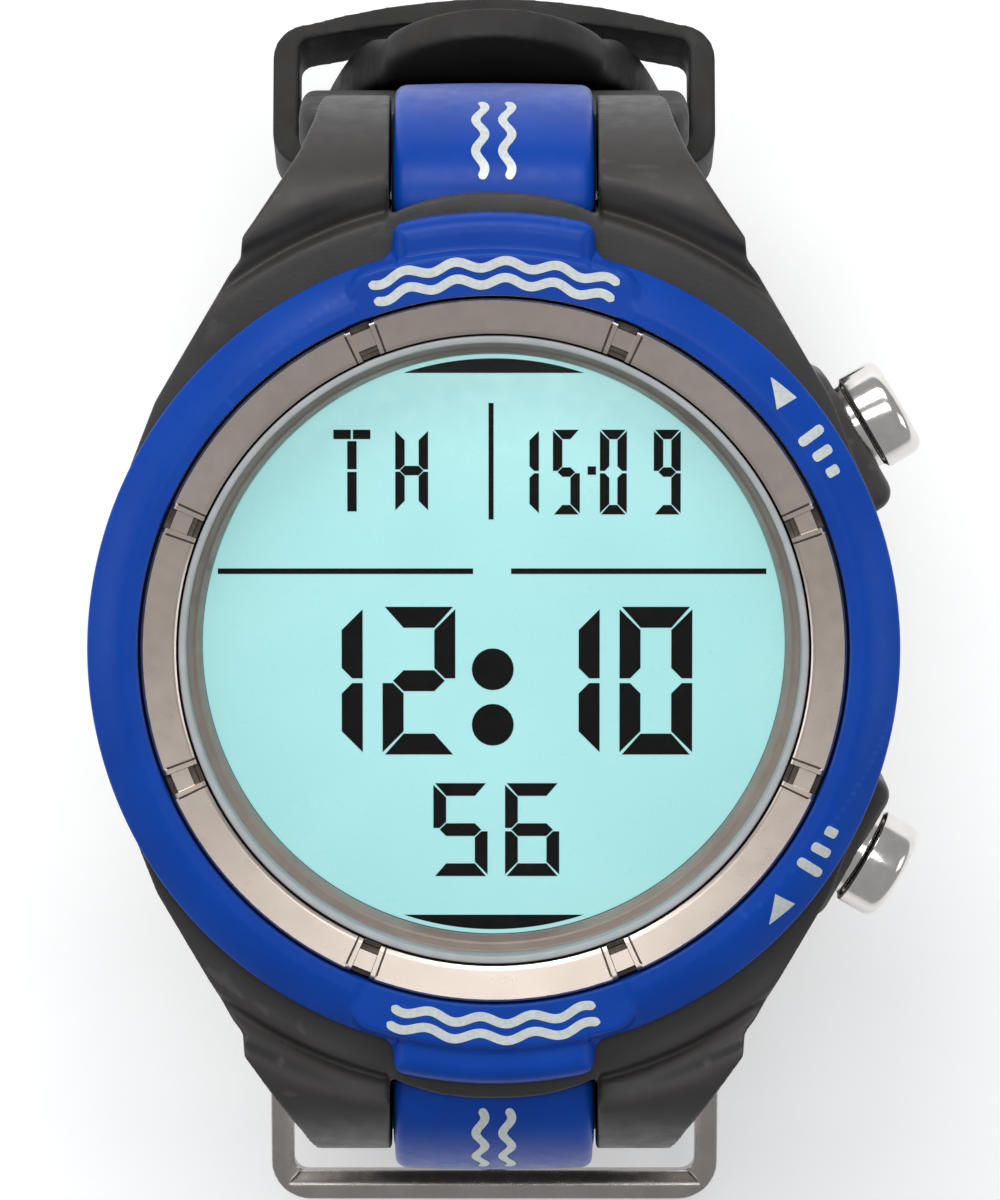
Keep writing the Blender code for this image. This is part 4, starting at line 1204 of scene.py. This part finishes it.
def make_buckle():
    outer = box_outline(high("buckle_frame").x, BUCKLE_END, -22.6, 2.6)
    frame_bar = prism("buckle_loop", outer, 7.0, 13.2)
    cut(frame_bar, prism("hole", box_outline(13.2, BUCKLE_END + 1.9, -20.0, 0.9), 0.0, 20.0))
    top = smooth_path([(-22.0, 12.4), (-26.5, 12.6), (-32.5, 11.6), (BUCKLE_END - 0.5, 9.7)], 8)
    base = smooth_path([(BUCKLE_END - 0.5, 7.6), (-32.5, 9.4), (-26.5, 9.8), (-22.0, 9.6)], 8)
    combine(frame_bar, prism("side", top + base, -16.0, 16.0, across_x=True), "INTERSECT")
    cut(frame_bar, rod("pivot", 1.0, BAR_Y, BAR_Z, 14.2))
    moulded(frame_bar, 0.11, 9, 0.5, buckle_form)
    finished(frame_bar, "buckle_metal", "buckle_frame", ["buckle_frame"], angle=80)
    path = smooth_path([(-26.0, 10.9), (-29.0, 9.9), (-33.0, 8.2), (-36.5, 6.9), (-39.9, 6.7)], 8)
    tongue = sweep("buckle_pin", path, lambda distance, whole: band(0.9, -0.65, 0.65, 0.4))
    join(tongue, rod("eye", 1.9, BAR_Y, BAR_Z, 1.2))
    cut(tongue, rod("pivot", 1.0, BAR_Y, BAR_Z, 5.0))
    moulded(tongue, 0.1, 7, 0.5)
    finished(tongue, "buckle_metal", "buckle_tongue", ["buckle_tongue"], angle=80)
    ends = rounded([(0.0, 14.05, 0), (0.9, 14.05, 0.2), (0.9, -14.05, 0.2), (0.0, -14.05, 0)], 4,
                   closed=False)
    axle = laid_across(turned("buckle_axle", ends, 64), BAR_Y, BAR_Z)
    finished(axle, "polished_steel", "strap_loop", ["buckle_bar"], angle=50)


# ---------------------------------------------------------------- frame nodes that stay, and the studio

def dress_frame_nodes():
    """Gives every frame node that still shows the finish of its own slot."""
    slots = {part["node"]: part["material_slot"] for part in frame["record"]["subparts"]}
    for name, obj in frame["nodes"].items():
        if not obj.hide_render:
            obj.data.materials.clear()
            obj.data.materials.append(MATERIALS[slots[name]])


def area_light(name, place, aim, size, power):
    data = bpy.data.lights.new(name, "AREA")
    data.shape = "RECTANGLE"
    data.size, data.size_y = size[0] * MM, size[1] * MM
    data.energy = power
    obj = bpy.data.objects.new(name, data)
    bpy.context.scene.collection.objects.link(obj)
    obj.location = Vector(place) * MM
    obj.rotation_euler = (Vector(aim) - Vector(place)).to_track_quat("-Z", "Y").to_euler()


def make_studio():
    scene = bpy.context.scene
    scene.view_settings.view_transform = "Standard"
    world = bpy.data.worlds.new("studio")
    world.use_nodes = True
    world.node_tree.nodes["Background"].inputs["Color"].default_value = (0.95, 0.97, 1.0, 1.0)
    world.node_tree.nodes["Background"].inputs["Strength"].default_value = 0.42
    scene.world = world
    floor = turned("floor", [(0.0, -0.05), (1500.0, -0.05), (1500.0, -2.0), (0.0, -2.0)], 96)
    floor.data.materials.append(MATERIALS["studio_floor"])
    middle = (0.0, 0.0, 45.0)
    area_light("key", (-90.0, 560.0, 560.0), middle, (560.0, 300.0), 3.4)
    area_light("overhead", (0.0, 190.0, 800.0), middle, (420.0, 190.0), 1.1)
    area_light("fill_left", (-560.0, 40.0, 360.0), middle, (360.0, 300.0), 0.6)
    area_light("fill_right", (560.0, -40.0, 380.0), middle, (300.0, 300.0), 0.5)


def make_camera():
    """Looks down on the display from 450 mm, five degrees towards 12 o'clock."""
    distance, lean = 450.0, 0.0872
    view_width = 70.3
    target = Vector((0.37, 3.1, BEZEL_TOP))
    data = bpy.data.cameras.new("camera")
    data.sensor_width = 36.0
    data.lens = data.sensor_width * distance / view_width
    camera = bpy.data.objects.new("camera", data)
    bpy.context.scene.collection.objects.link(camera)
    place = target + Vector((0.0, lean, 1.0)) * distance
    camera.location = place * MM
    camera.rotation_euler = (-math.atan(lean), 0.0, 0.0)
    bpy.context.scene.camera = camera


make_studio()
make_camera()
make_bezel()
make_bezel_marks()
make_trim_ring()
make_lens_and_surround()
make_display()
make_case()
make_buttons()
make_back()
make_strap()
make_inserts()
insert_waves()
make_keepers()
make_buckle()
dress_frame_nodes()
